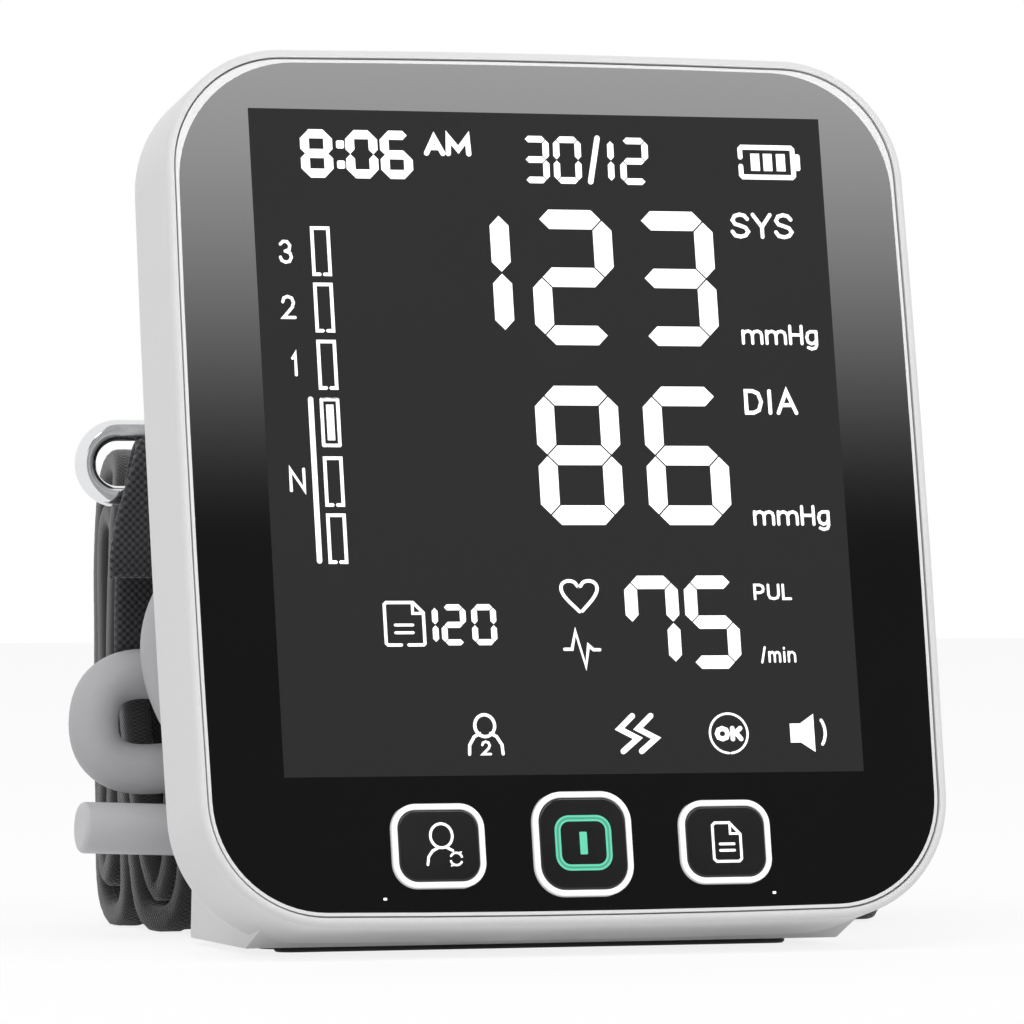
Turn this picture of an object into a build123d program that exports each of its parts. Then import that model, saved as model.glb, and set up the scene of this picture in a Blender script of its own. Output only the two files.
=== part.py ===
from build123d import *
import os
from math import atan2, cos, degrees, pi, radians, sin, tan

os.makedirs("parts", exist_ok=True)

# An upper arm blood pressure monitor with its folded cuff behind it.
# Millimetres. X runs to the right along the display, Y to the back, Z up.
# The origin is on the table, in the middle of the three rubber strips that it stands on.

# Driving dimensions of the monitor's case
LEAN = 11.0
CASE_WIDTH = 122.0
CASE_HEIGHT = 137.5
CASE_CORNER = 19.5
SIDE_BOW = 0.7
CASE_DEPTH = 21.0
FRONT_DEPTH = 7.5
WALL = 2.0
RIM_WIDTH = 1.3
RIM_ROUND = 0.9
REAR_ROUND = 3.0
RECESS = 1.8
DECK = 1.6
GROOVE = 0.3
LEDGE = 0.5
PANEL_SET_BACK = 0.25
PANEL_TOP_CORNER = 19.5
LIP_DEPTH = 1.6
LIP_WIDTH = 0.8
FIT = 0.2
CUT = 1.0

# The rear housing that the monitor stands on
HUMP_WIDTH = 97.0
HUMP_BASE_DEPTH = 56.0
HUMP_TOP_DEPTH = 47.0
HUMP_TOP = 112.0
HUMP_EDGE = 5.0

# Rubber strips under the housing
FOOT_LENGTH = 84.0
FOOT_WIDTH = 5.0
FOOT_HEIGHT = 1.0
FOOT_FRONT = 27.0
FOOT_REAR = 45.0
FOOT_COUNT = 3
FOOT_EDGE = 0.3

# Display
SCREEN_FROM_SIDE = 14.0
SCREEN_WIDTH = CASE_WIDTH - 2 * SCREEN_FROM_SIDE
SCREEN_BOTTOM = 23.2
SCREEN_FROM_TOP = 9.8
SCREEN_HEIGHT = CASE_HEIGHT - SCREEN_BOTTOM - SCREEN_FROM_TOP
LCD_MARGIN = 1.2
LCD_THICK = 2.4
BACKLIGHT_THICK = 2.6
FRAME_WALL = 1.2
FRAME_FLOOR = 1.0
FRAME_BAR = 8.0

# Buttons
KEY_ROW = 12.4
KEY_PITCH = 23.2
SIDE_KEY = (14.8, 12.9)
START_KEY = (15.9, 16.1)
KEY_CORNER = 0.30
KEY_RIM = 0.9
KEY_GAP = 0.15
KEY_PROUD = 0.35
KEY_DOME = 0.35
KEY_FLANGE = 0.7
KEY_FLANGE_THICK = 0.8
KEY_STEM = 2.0
KEY_TRAVEL = 0.5
KEY_REST = 0.1
KEY_EDGE = 0.12
SWITCH_SIZE = 6.0
SWITCH_BODY = 2.4
SWITCH_PLUNGER = 1.7

# Circuit board
BOARD_FROM_SIDE = 15.0
BOARD_WIDTH = CASE_WIDTH - 2 * BOARD_FROM_SIDE
BOARD_BOTTOM = 5.0
BOARD_FROM_TOP = 15.5
BOARD_TOP = CASE_HEIGHT - BOARD_FROM_TOP
BOARD_THICK = 1.6
BOARD_GAP = 0.4
BOARD_CORNER = 6.0
CHIP_THICK = 1.4
LARGE_CHIP = 12.0
SMALL_CHIP = 6.0
CHIP_ROW = 88.0
CHIP_STEP = 18.0
SENSOR_UP = 82.0
SENSOR_BODY = 3.2
SENSOR_PORT = 3.0
SPEAKER_RADIUS = 10.0
SPEAKER_THICK = 4.5
SPEAKER_EDGE = 1.2
SPEAKER_UP = 93.0
GRILLE_SLOTS = 7
GRILLE_PITCH = 2.6
GRILLE_SLOT = 1.3
GRILLE_MARGIN = 3.0

# Screws that close the case
SCREW_FROM_SIDE = 7.0
SCREW_X = CASE_WIDTH / 2 - SCREW_FROM_SIDE
SCREW_LOW = 14.0
SCREW_FROM_TOP = 17.5
SCREW_HIGH = CASE_HEIGHT - SCREW_FROM_TOP
SCREW_RADIUS = 1.3
SCREW_LENGTH = 10.0
SCREW_PLAY = 0.03
SCREW_WELL = 4.0
SCREW_HEAD_RADIUS = 2.4
SCREW_HEAD = 1.6
BOSS_RADIUS = 3.2
POST_RADIUS = 4.2
CROSS_LENGTH = 2.8
CROSS_WIDTH = 0.7
CROSS_DEPTH = 0.6

# Batteries and their bay, on the rear wall
CELL_RADIUS = 7.2
CELL_LENGTH = 50.0
CELL_PITCH = 14.8
CELL_COUNT = 4
CELL_BUTTON = 1.2
CELL_EDGE = 0.6
BUTTON_RADIUS = 2.7
CONTACT_THICK = 0.5
CONTACT_HEIGHT = 10.0
CONTACT_MARGIN = 3.0
SPRING_BASE = 4.6
SPRING_TIP = 2.4
BAY_CENTRE = -14.5
BAY_BOTTOM = 7.0
BAY_WALL = 1.4
CONTACT_SPACE = 4.0
DOOR_THICK = 1.8
DOOR_OVERLAP = 1.6
DOOR_TRAVEL = 12.0
DOOR_GAP = 0.3
DOOR_RIBS = 5
DOOR_CORNER = 1.0
RIB_PITCH = 2.6
RIB_WIDTH = 1.2
RIB_LENGTH = 22.0
RIB_PROUD = 0.5
RIB_FROM_TOP = 6.0
RAIL_WIDTH = 1.2
RAIL_DEPTH = 0.6

# Air system
PUMP_SMALLEST = 4.6
PUMP_SHARE = 0.15
PUMP_RADIUS = PUMP_SMALLEST + PUMP_SHARE * HUMP_BASE_DEPTH
PUMP_HEAD = 22.0
PUMP_EDGE = 0.8
MOTOR_RADIUS = PUMP_RADIUS - 1.0
MOTOR_LENGTH = 20.0
CUSHION = 0.9
PUMP_X = 31.8
PUMP_FROM_REAR = 6.5
PUMP_Y = HUMP_BASE_DEPTH - PUMP_FROM_REAR - PUMP_RADIUS
VALVE_SIZE = (13.0, 11.0, 19.0)
VALVE_GAP = 6.0
VALVE_CORNER = 1.5
JACK_HEIGHT = 50.6
JACK_DEPTH = 13.2
JACK_RADIUS = 4.6
JACK_FLANGE = 5.4
JACK_FLANGE_THICK = 1.2
JACK_BORE = 2.25
JACK_PROUD = 0.6
JACK_FLOOR = 2.5
JACK_LENGTH = 13.0
JACK_TUBE_SIDE = 3.0
JACK_TUBE_BEND = 3.4
SENSOR_TUBE_BEND = 2.8
MANIFOLD_RISE = 12.4
MANIFOLD_RADIUS = 2.8
MANIFOLD_EDGE = 0.6
MANIFOLD_REACH = 6.5
SENSOR_BEND = 3.2
BARB = 3.0
TUBE_RADIUS = 2.2
TUBE_BORE = 1.2

# Cuff, folded and lying behind the monitor
CUFF_LEFT = -46.0
CUFF_WIDTH = 124.0
CUFF_FRONT = 75.0
CUFF_ROLL_DEPTH = 40.0
CUFF_ROLL_HEIGHT = 78.0
BAND_THICK = 5.6
BAND_GAP = 0.5
BLADDER_THICK = 1.8
BLADDER_WIDTH = 110.0
FOLD_RADII = [15.0, 12.0, 9.0, 7.0, 4.5]
FLAP_END = 16.0
POCKET_TOP = 17.0
POCKET_RETURN = 20.0
STRAP_LEFT = -54.0
STRAP_WIDTH = 116.0
STRAP_THICK = 2.0
STRAP_TAIL = 12.0
STRAP_SEAM = 7.0
STRAP_NECK = 5.0
STRAP_DROP = 11.0
STRAP_BEND = 4.0
STRAP_FIT = 0.2
RING_Y = 69.0
RING_BAR_Z = 70.6
RING_WIRE = 3.4
RING_HEIGHT = 14.0
RING_LEFT = -62.8
RING_LENGTH = 131.0
HOOK_THICK = 1.2
HOOK_WIDTH = 90.0
HOOK_HEIGHT = 48.0
HOOK_RISE = 2.0
HOOK_CORNER = 6.0

# Air hose and its plug
HOSE_RADIUS = 4.0
PLUG_RADIUS = 4.1
PLUG_LENGTH = 17.2
NIPPLE_RADIUS = 2.1
NIPPLE_LENGTH = 8.5
NIPPLE_FROM_END = 6.5
GROMMET_RADIUS = 7.0
GROMMET_THICK = 1.6
ELBOW_RADIUS = 4.4
PLUG_EDGE = 0.9
NIPPLE_EDGE = 0.5
SEAL_RADIUS = 0.5
SEAL_PLACE = 0.6
# The hose's route, from the grommet to the plug, counted from the front bottom edge
HOSE_ROUTE = [
    (37.5, 66.5, 34.5),
    (22.0, 64.5, 35.5),
    (2.0, 60.0, 44.0),
    (-20.0, 57.5, 57.0),
    (-43.0, 58.0, 63.0),
    (-52.5, 60.0, 48.0),
    (-45.0, 60.5, 30.0),
    (-26.0, 60.5, 20.0),
    (4.0, 60.0, 17.0),
    (32.0, 60.5, 19.5),
    (54.0, 62.0, 24.0),
    (66.0, 65.5, 36.0),
    (54.0, 69.0, 47.5),
    (30.0, 70.5, 46.0),
    (2.0, 70.5, 45.0),
    (-22.0, 70.5, 43.5),
    (-42.0, 70.0, 42.0),
    (-59.3, 70.0, 42.5),
    (-59.6, 70.0, 26.5),
    (-40.0, 70.0, 27.5),
    (-14.0, 70.0, 27.5),
    (14.0, 69.5, 28.5),
    (36.0, 69.0, 26.5),
    (50.0, 68.5, 17.5),
    (43.0, 68.0, 6.0),
    (22.0, 67.5, 4.3),
    (-4.0, 67.5, 5.0),
    (-24.0, 67.0, 9.0),
    (-37.5, 66.5, 17.0),
    (-45.5, 66.5, 17.3),
]

GROMMET_X = 44.0
GROMMET_Z = HOSE_ROUTE[0][2]

LEAN_SIN = sin(radians(LEAN))
LEAN_COS = cos(radians(LEAN))
BASE_MIDDLE = (FOOT_FRONT + FOOT_REAR) / 2
FACE_Z = FOOT_HEIGHT + CASE_DEPTH * LEAN_SIN
FACE = Plane(
    origin=(0, -BASE_MIDDLE, FACE_Z),
    x_dir=(1, 0, 0),
    z_dir=(0, -LEAN_COS, LEAN_SIN),
)
BACK_ANGLE = degrees(atan2(HUMP_BASE_DEPTH - HUMP_TOP_DEPTH, HUMP_TOP - FOOT_HEIGHT))
BACK = Plane(
    origin=(0, HUMP_BASE_DEPTH - BASE_MIDDLE, FOOT_HEIGHT),
    x_dir=(-1, 0, 0),
    z_dir=(0, cos(radians(BACK_ANGLE)), sin(radians(BACK_ANGLE))),
)
SENSOR_AT = (PUMP_X - MANIFOLD_REACH - BARB - SENSOR_BEND, SENSOR_UP)
# Depths below the rim, along the display's normal
PANEL_BACK = -RECESS
DECK_BACK = PANEL_BACK - DECK
LCD_BACK = PANEL_BACK - LCD_THICK
BACKLIGHT_BACK = LCD_BACK - BACKLIGHT_THICK
FRAME_BACK = BACKLIGHT_BACK - FRAME_FLOOR
BOARD_FRONT = FRAME_BACK - BOARD_GAP
BOARD_BACK = BOARD_FRONT - BOARD_THICK
INNER_BACK = -CASE_DEPTH + WALL
PANEL_INSET = RIM_WIDTH + GROOVE + LEDGE
SCREW_SEAT = -CASE_DEPTH + SCREW_WELL

PARTS = {}


def keep(name, shape):
    """Files a finished piece under its name."""
    PARTS[name] = shape


def leaned(shape):
    """Places a piece drawn on the display face into the standing monitor."""
    return FACE.location * shape


def on_back(shape):
    """Places a piece drawn on the rear wall into the standing monitor."""
    return BACK.location * shape


def shifted(y, z):
    """Turns a place counted from the front bottom edge into the part's own Y and Z."""
    return (y - BASE_MIDDLE, z)


def behind_face(up, depth):
    """The place in the YZ plane that lies up the display face and depth behind it."""
    return shifted(
        up * LEAN_SIN + depth * LEAN_COS, FACE_Z + up * LEAN_COS - depth * LEAN_SIN
    )


def bowed_rectangle(width, height, bottom_corner, top_corner, bow):
    """A rectangle on the line y = 0 whose sides bow out a little, with round corners."""
    half = width / 2 - bow
    low, high = bow, height - bow
    sides = [
        ThreePointArc((-half, low), (0, 0), (half, low)),
        ThreePointArc((half, low), (width / 2, height / 2), (half, high)),
        ThreePointArc((half, high), (0, height), (-half, high)),
        ThreePointArc((-half, high), (-width / 2, height / 2), (-half, low)),
    ]
    face = make_face(sides)
    face = fillet(face.vertices().sort_by(Axis.Y)[2:], top_corner)
    return fillet(face.vertices().sort_by(Axis.Y)[:2], bottom_corner)


def case_outline(inset, top_corner=None):
    """The case's outline, drawn in by a margin."""
    corner = CASE_CORNER - inset
    return Pos(0, inset) * bowed_rectangle(
        CASE_WIDTH - 2 * inset,
        CASE_HEIGHT - 2 * inset,
        corner,
        top_corner or corner,
        SIDE_BOW,
    )


def layer(outline, front, back):
    """A flat outline given thickness between two depths."""
    return extrude(Pos(0, 0, back) * outline, front - back)


def rod(radius, start, end):
    """A round bar from one point to another."""
    axis = Vector(*end) - Vector(*start)
    plane = Plane(origin=start, z_dir=axis)
    return plane.location * extrude(Circle(radius), axis.length)


def key_outline(size, grow=0.0):
    """A button's soft-cornered outline, grown by a margin."""
    width, height = size[0] + 2 * grow, size[1] + 2 * grow
    corner = KEY_CORNER * min(size) + grow
    return RectangleRounded(width, height, corner)


SCREEN = Pos(0, SCREEN_BOTTOM + SCREEN_HEIGHT / 2)
LCD_ROOM = Rectangle(
    SCREEN_WIDTH + 2 * LCD_MARGIN + 2 * FIT, SCREEN_HEIGHT + 2 * LCD_MARGIN + 2 * FIT
)
KEYS = {
    "user": (-KEY_PITCH, SIDE_KEY),
    "start": (0.0, START_KEY),
    "memory": (KEY_PITCH, SIDE_KEY),
}
SCREWS = [(x, y) for y in (SCREW_LOW, SCREW_HIGH) for x in (-SCREW_X, SCREW_X)]


def make_front_case():
    """The white bezel: rim, panel recess, deck behind the panel and screw bosses."""
    shell = layer(case_outline(0), 0, -FRONT_DEPTH)
    shell = fillet(shell.faces().sort_by(Axis.Z)[-1].edges(), RIM_ROUND)
    shell -= layer(case_outline(RIM_WIDTH), 0, PANEL_BACK)
    shell -= layer(case_outline(WALL), DECK_BACK, -FRONT_DEPTH)
    shell -= layer(SCREEN * LCD_ROOM, PANEL_BACK, DECK_BACK)
    for x, size in KEYS.values():
        hole = key_outline(size, KEY_FLANGE + KEY_GAP)
        shell -= layer(Pos(x, KEY_ROW) * hole, PANEL_BACK, DECK_BACK)
    for x, y in SCREWS:
        shell += layer(Pos(x, y) * Circle(BOSS_RADIUS), DECK_BACK, BOARD_FRONT)
        shell -= layer(Pos(x, y) * Circle(SCREW_RADIUS), DECK_BACK, BOARD_FRONT)
    return leaned(shell)


def make_trim_ring():
    """The thin white ring between the rim and the black panel."""
    outer = case_outline(RIM_WIDTH + GROOVE)
    inner = case_outline(PANEL_INSET, PANEL_TOP_CORNER)
    return leaned(layer(outer - inner, -PANEL_SET_BACK, PANEL_BACK))


def make_front_panel():
    """The black panel with its display window and three button holes."""
    outline = case_outline(PANEL_INSET, PANEL_TOP_CORNER)
    outline -= SCREEN * Rectangle(SCREEN_WIDTH, SCREEN_HEIGHT)
    for x, size in KEYS.values():
        outline -= Pos(x, KEY_ROW) * key_outline(size, KEY_GAP)
    return leaned(layer(outline, -PANEL_SET_BACK, PANEL_BACK))


def make_display():
    """The window, liquid crystal glass, light guide and the frame that clips them."""
    window = Rectangle(SCREEN_WIDTH, SCREEN_HEIGHT)
    glass = Rectangle(SCREEN_WIDTH + 2 * LCD_MARGIN, SCREEN_HEIGHT + 2 * LCD_MARGIN)
    keep("display_window", leaned(layer(SCREEN * window, -PANEL_SET_BACK, PANEL_BACK)))
    keep("lcd_glass", leaned(layer(SCREEN * glass, PANEL_BACK, LCD_BACK)))
    keep("backlight", leaned(layer(SCREEN * glass, LCD_BACK, BACKLIGHT_BACK)))
    outer = offset(LCD_ROOM, FRAME_WALL, kind=Kind.INTERSECTION)
    frame = layer(outer, DECK_BACK, FRAME_BACK) - layer(LCD_ROOM, DECK_BACK, BACKLIGHT_BACK)
    opening = Rectangle(SCREEN_WIDTH / 2 - FRAME_BAR, SCREEN_HEIGHT / 2 - FRAME_BAR)
    for place in GridLocations(SCREEN_WIDTH / 2, SCREEN_HEIGHT / 2, 2, 2):
        frame -= layer(place * opening, BACKLIGHT_BACK, FRAME_BACK)
    keep("lcd_frame", leaned(SCREEN * frame))


def make_keys():
    """Each button: a domed black cap in a white rim, with a stem over its switch."""
    switches = []
    for name, (x, size) in KEYS.items():
        place = Pos(x, KEY_ROW)
        inner = key_outline(size, -KEY_RIM)
        cap = layer(inner, KEY_PROUD, PANEL_BACK)
        cap = fillet(cap.faces().sort_by(Axis.Z)[-1].edges(), KEY_DOME)
        cap += layer(key_outline(size, KEY_FLANGE), PANEL_BACK, PANEL_BACK - KEY_FLANGE_THICK)
        stem_end = BOARD_FRONT + SWITCH_BODY + SWITCH_PLUNGER + KEY_TRAVEL + KEY_REST
        cap += layer(Circle(KEY_STEM), PANEL_BACK - KEY_FLANGE_THICK, stem_end)
        keep(name + "_button", leaned(place * cap))
        rim = layer(key_outline(size) - inner, KEY_PROUD, PANEL_BACK)
        rim = chamfer(rim.faces().sort_by(Axis.Z)[-1].edges(), KEY_EDGE)
        keep(name + "_button_rim", leaned(place * rim))
        body = layer(Rectangle(SWITCH_SIZE, SWITCH_SIZE), BOARD_FRONT + SWITCH_BODY, BOARD_FRONT)
        top = BOARD_FRONT + SWITCH_BODY
        body += layer(Circle(SWITCH_SIZE / 3.6), top + SWITCH_PLUNGER, top)
        switches.append(leaned(place * body))
    keep("tact_switches", Compound(switches))


def make_board():
    """The circuit board with cleared corners, and the parts soldered on its back."""
    height = BOARD_TOP - BOARD_BOTTOM
    board = Pos(0, BOARD_BOTTOM + height / 2) * RectangleRounded(BOARD_WIDTH, height, BOARD_CORNER)
    keep("main_board", leaned(layer(board, BOARD_FRONT, BOARD_BACK)))
    low_row = CHIP_ROW - CHIP_STEP
    chips = [
        (-CHIP_STEP, CHIP_ROW, LARGE_CHIP, LARGE_CHIP),
        (0, CHIP_ROW, SMALL_CHIP, SMALL_CHIP),
        (-1.5 * CHIP_STEP, low_row, SMALL_CHIP, SMALL_CHIP),
        (0, low_row, SMALL_CHIP, LARGE_CHIP),
    ]
    solids = [
        leaned(layer(Pos(x, up) * Rectangle(w, h), BOARD_BACK, BOARD_BACK - CHIP_THICK))
        for x, up, w, h in chips
    ]
    keep("board_chips", Compound(solids))
    sensor = layer(Rectangle(10, 10), BOARD_BACK, BOARD_BACK - SENSOR_BODY)
    tip = BOARD_BACK - SENSOR_BODY - SENSOR_PORT
    sensor += layer(Circle(TUBE_BORE), BOARD_BACK - SENSOR_BODY, tip)
    keep("pressure_sensor", leaned(Pos(*SENSOR_AT) * sensor))


def hump_profile(wall):
    """The rear housing's side outline in the YZ plane, drawn in by a wall."""
    low = FOOT_HEIGHT + wall
    slope = (HUMP_BASE_DEPTH - HUMP_TOP_DEPTH) / (HUMP_TOP - FOOT_HEIGHT)
    setback = wall / cos(radians(BACK_ANGLE))
    rear_low = HUMP_BASE_DEPTH - slope * (low - FOOT_HEIGHT) - setback
    high = HUMP_TOP - wall
    rear_high = HUMP_BASE_DEPTH - slope * (high - FOOT_HEIGHT) - setback
    middle = CASE_DEPTH / 2
    points = [
        behind_face(WALL, middle),
        shifted(CASE_DEPTH * LEAN_COS, low),
        shifted(rear_low, low),
        shifted(rear_high, high),
        behind_face((high - FACE_Z) / LEAN_COS, middle),
    ]
    return Plane.YZ * make_face(Polyline(points, close=True))


def hump_solid(wall):
    """The rear housing as a block, drawn in by a wall, with its rear edges rounded."""
    half = HUMP_WIDTH / 2 - wall
    block = extrude(Pos(-half, 0, 0) * hump_profile(wall), 2 * half)
    rear = block.faces().filter_by(GeomType.PLANE).sort_by(SortBy.AREA)
    rear = [f for f in rear if f.normal_at().Y > 0.9][-1]
    return fillet(rear.edges(), HUMP_EDGE - wall)


BAY_HEIGHT = CELL_LENGTH + 2 * CONTACT_SPACE
BAY_WIDTH = CELL_PITCH * CELL_COUNT + 2 * FIT
BAY_DEPTH = DOOR_THICK + 2 * CELL_RADIUS + 2 * FIT
BAY_TOP = BAY_BOTTOM + BAY_HEIGHT
BAY_X = -BAY_CENTRE


def bay_rectangle(margin, extra_top=0.0):
    """The battery bay's outline on the rear wall, grown by a margin."""
    width = BAY_WIDTH + 2 * margin
    height = BAY_HEIGHT + 2 * margin + extra_top
    return Pos(BAY_X, BAY_BOTTOM - margin + height / 2) * Rectangle(width, height)


def make_rear_case():
    """The rear shell: walls, stand, battery bay, screw wells, grille and foot seats."""
    shell = layer(case_outline(0), -FRONT_DEPTH, -CASE_DEPTH)
    shell = fillet(shell.faces().sort_by(Axis.Z)[0].edges(), REAR_ROUND)
    shell = leaned(shell) + hump_solid(0)
    shell -= leaned(layer(case_outline(WALL), -FRONT_DEPTH, INNER_BACK))
    shell -= hump_solid(WALL)
    bay = on_back(layer(bay_rectangle(BAY_WALL), -WALL, -BAY_DEPTH - BAY_WALL))
    shell += bay
    shell -= on_back(layer(bay_rectangle(0), 0, -BAY_DEPTH))
    recess = bay_rectangle(DOOR_OVERLAP, DOOR_TRAVEL)
    shell -= on_back(layer(recess, 0, -DOOR_THICK + DOOR_GAP))
    for i in range(GRILLE_SLOTS):
        rise = GRILLE_PITCH * (i - (GRILLE_SLOTS - 1) / 2)
        long = 2 * (SPEAKER_RADIUS**2 - rise**2) ** 0.5 - GRILLE_MARGIN
        slot = Pos(BAY_X, SPEAKER_UP + rise) * SlotOverall(long, GRILLE_SLOT)
        shell -= on_back(layer(slot, CUT, -WALL - CUT))
    for x, y in SCREWS:
        place = Pos(x, y)
        post = layer(place * Circle(POST_RADIUS), BOARD_FRONT, INNER_BACK)
        shell += leaned(post)
        shell -= leaned(layer(place * Circle(SCREW_RADIUS + FIT), BOARD_FRONT, INNER_BACK - WALL))
        well = place * Circle(SCREW_HEAD_RADIUS + FIT)
        shell -= leaned(layer(well, SCREW_SEAT, -CASE_DEPTH - CUT))
    return shell


def make_battery_door():
    """The cover that slides up the rear wall, with side rails and a ribbed grip."""
    margin = DOOR_OVERLAP - DOOR_GAP
    door = layer(bay_rectangle(margin), -DOOR_GAP / 2, -DOOR_THICK + 2 * DOOR_GAP)
    door = fillet(door.edges().filter_by(Axis.Z), DOOR_CORNER)
    for i in range(DOOR_RIBS):
        rib = Pos(BAY_X, BAY_TOP - RIB_FROM_TOP - RIB_PITCH * i) * SlotOverall(RIB_LENGTH, RIB_WIDTH)
        door += layer(rib, RIB_PROUD, -DOOR_GAP)
    long = BAY_HEIGHT - DOOR_TRAVEL - 2 * RAIL_WIDTH
    for side in (-1, 1):
        x = BAY_X + side * (BAY_WIDTH / 2 - DOOR_GAP - RAIL_WIDTH / 2)
        rail = Pos(x, BAY_BOTTOM + RAIL_WIDTH + long / 2) * Rectangle(RAIL_WIDTH, long)
        door += layer(rail, -DOOR_THICK + 2 * DOOR_GAP, -DOOR_THICK - RAIL_DEPTH)
    return on_back(door)


def make_batteries():
    """Four cells side by side, and the springs and plates at their ends."""
    cells = []
    plates = []
    first = BAY_X - CELL_PITCH * (CELL_COUNT - 1) / 2
    middle = -BAY_DEPTH + FIT + CELL_RADIUS
    for i in range(CELL_COUNT):
        at = Pos(first + i * CELL_PITCH, BAY_BOTTOM + CONTACT_SPACE, middle)
        can = Cylinder(CELL_RADIUS, CELL_LENGTH - CELL_BUTTON)
        cell = chamfer(can.edges(), CELL_EDGE)
        cell += Pos(0, 0, CELL_LENGTH / 2 - CELL_BUTTON / 4) * Cylinder(BUTTON_RADIUS, 1.5 * CELL_BUTTON)
        cells.append(on_back(at * Pos(0, CELL_LENGTH / 2, 0) * Rot(-90, 0, 0) * cell))
        for side in (0, 1):
            wall = side * BAY_HEIGHT - CONTACT_SPACE
            inward = 1 - 2 * side
            plate = Pos(0, wall + inward * CONTACT_THICK / 2, 0) * Box(
                CELL_PITCH - CONTACT_MARGIN, CONTACT_THICK, CONTACT_HEIGHT
            )
            reach = CONTACT_SPACE - CONTACT_THICK + (0.5 - side) * CELL_BUTTON
            spring = Rot(-90 * inward, 0, 0) * Cone(SPRING_BASE, SPRING_TIP, reach)
            plate += Pos(0, wall + inward * (CONTACT_THICK + reach / 2), 0) * spring
            plates.append(on_back(at * plate))
    keep("batteries", Compound(cells))
    keep("battery_contacts", Compound(plates))


PUMP_PLACE = (PUMP_X, PUMP_Y - BASE_MIDDLE)
JACK_UP = (JACK_HEIGHT - FACE_Z + JACK_DEPTH * LEAN_SIN) / LEAN_COS
JACK_PLACE = behind_face(JACK_UP, JACK_DEPTH)
PUMP_LOW = FOOT_HEIGHT + WALL + CUSHION
PUMP_TOP = PUMP_LOW + MOTOR_LENGTH + PUMP_HEAD
JACK_SIDE = CASE_WIDTH / 2 - SIDE_BOW
MANIFOLD_Z = PUMP_TOP + MANIFOLD_RISE


def tube(points, radii):
    """A soft inner pipe along a bent line, pushed over the barbs at its ends."""
    path = FilletPolyline(*points, radius=radii)
    plane = Plane(origin=path @ 0, z_dir=path % 0)
    ring = plane * (Circle(TUBE_RADIUS) - Circle(TUBE_BORE))
    return sweep(ring, path)


def straight_tube(start, end):
    """A short straight piece of soft inner pipe."""
    return rod(TUBE_RADIUS, start, end) - rod(TUBE_BORE, start, end)


def make_air_system():
    """Motor and pump standing in a rubber cushion, the manifold, the valve and pipes."""
    x, y = PUMP_PLACE
    motor = Pos(x, y, PUMP_LOW + MOTOR_LENGTH / 2) * Cylinder(MOTOR_RADIUS, MOTOR_LENGTH)
    keep("pump_motor", chamfer(motor.edges(), PUMP_EDGE))
    head_middle = PUMP_LOW + MOTOR_LENGTH + PUMP_HEAD / 2
    head = Pos(x, y, head_middle) * Cylinder(PUMP_RADIUS, PUMP_HEAD)
    head = chamfer(head.edges(), PUMP_EDGE)
    head += rod(TUBE_BORE, (x, y, PUMP_TOP), (x, y, PUMP_TOP + BARB))
    keep("air_pump", head)
    sleeve = Cylinder(MOTOR_RADIUS + CUSHION, MOTOR_LENGTH + CUSHION)
    sleeve = Pos(x, y, PUMP_LOW + (MOTOR_LENGTH - CUSHION) / 2) * sleeve
    keep("pump_cushion", sleeve - motor)

    z = MANIFOLD_Z
    manifold = rod(MANIFOLD_RADIUS, (x - MANIFOLD_REACH, y, z), (x + MANIFOLD_REACH, y, z))
    manifold = chamfer(manifold.edges(), MANIFOLD_EDGE)
    manifold += rod(TUBE_BORE, (x, y, z), (x, y, z - MANIFOLD_RADIUS - BARB))
    manifold += rod(TUBE_BORE, (x, y, z), (x, y, z + MANIFOLD_RADIUS + BARB))
    jack_x = x - JACK_TUBE_SIDE
    manifold += rod(TUBE_BORE, (jack_x, y, z), (jack_x, y - MANIFOLD_RADIUS - BARB, z))
    left = x - MANIFOLD_REACH
    manifold += rod(TUBE_BORE, (left, y, z), (left - BARB, y, z))
    keep("air_manifold", manifold)
    low, high = PUMP_TOP, z - MANIFOLD_RADIUS
    keep("pump_tube", straight_tube((x, y, low), (x, y, high)))

    depth, width, height = VALVE_SIZE
    low = z + MANIFOLD_RADIUS
    high = low + VALVE_GAP
    keep("valve_tube", straight_tube((x, y, low), (x, y, high)))
    valve = Pos(x, y, high + height / 2) * Box(depth, width, height)
    valve = fillet(valve.edges().filter_by(Axis.Z), VALVE_CORNER)
    valve += rod(TUBE_BORE, (x, y, high - VALVE_GAP / 4), (x, y, high + VALVE_CORNER))
    keep("exhaust_valve", valve)

    barb = JACK_PLACE
    start = (CASE_WIDTH / 2 - SIDE_BOW / 2 - JACK_LENGTH, barb[0], barb[1])
    end = (jack_x, y - MANIFOLD_RADIUS, z)
    corner = (jack_x, start[1], start[2])
    above = (jack_x, start[1], z)
    keep("jack_tube", tube([start, corner, above, end], JACK_TUBE_BEND))

    port = FACE.from_local_coords(Vector(*SENSOR_AT, BOARD_BACK - SENSOR_BODY))
    away = (port.X, y, port.Z - (y - port.Y) * LEAN_SIN / LEAN_COS)
    turns = [(left, y, z), (port.X, y, z), away, (port.X, port.Y, port.Z)]
    keep("sensor_tube", tube(turns, SENSOR_TUBE_BEND))


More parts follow.
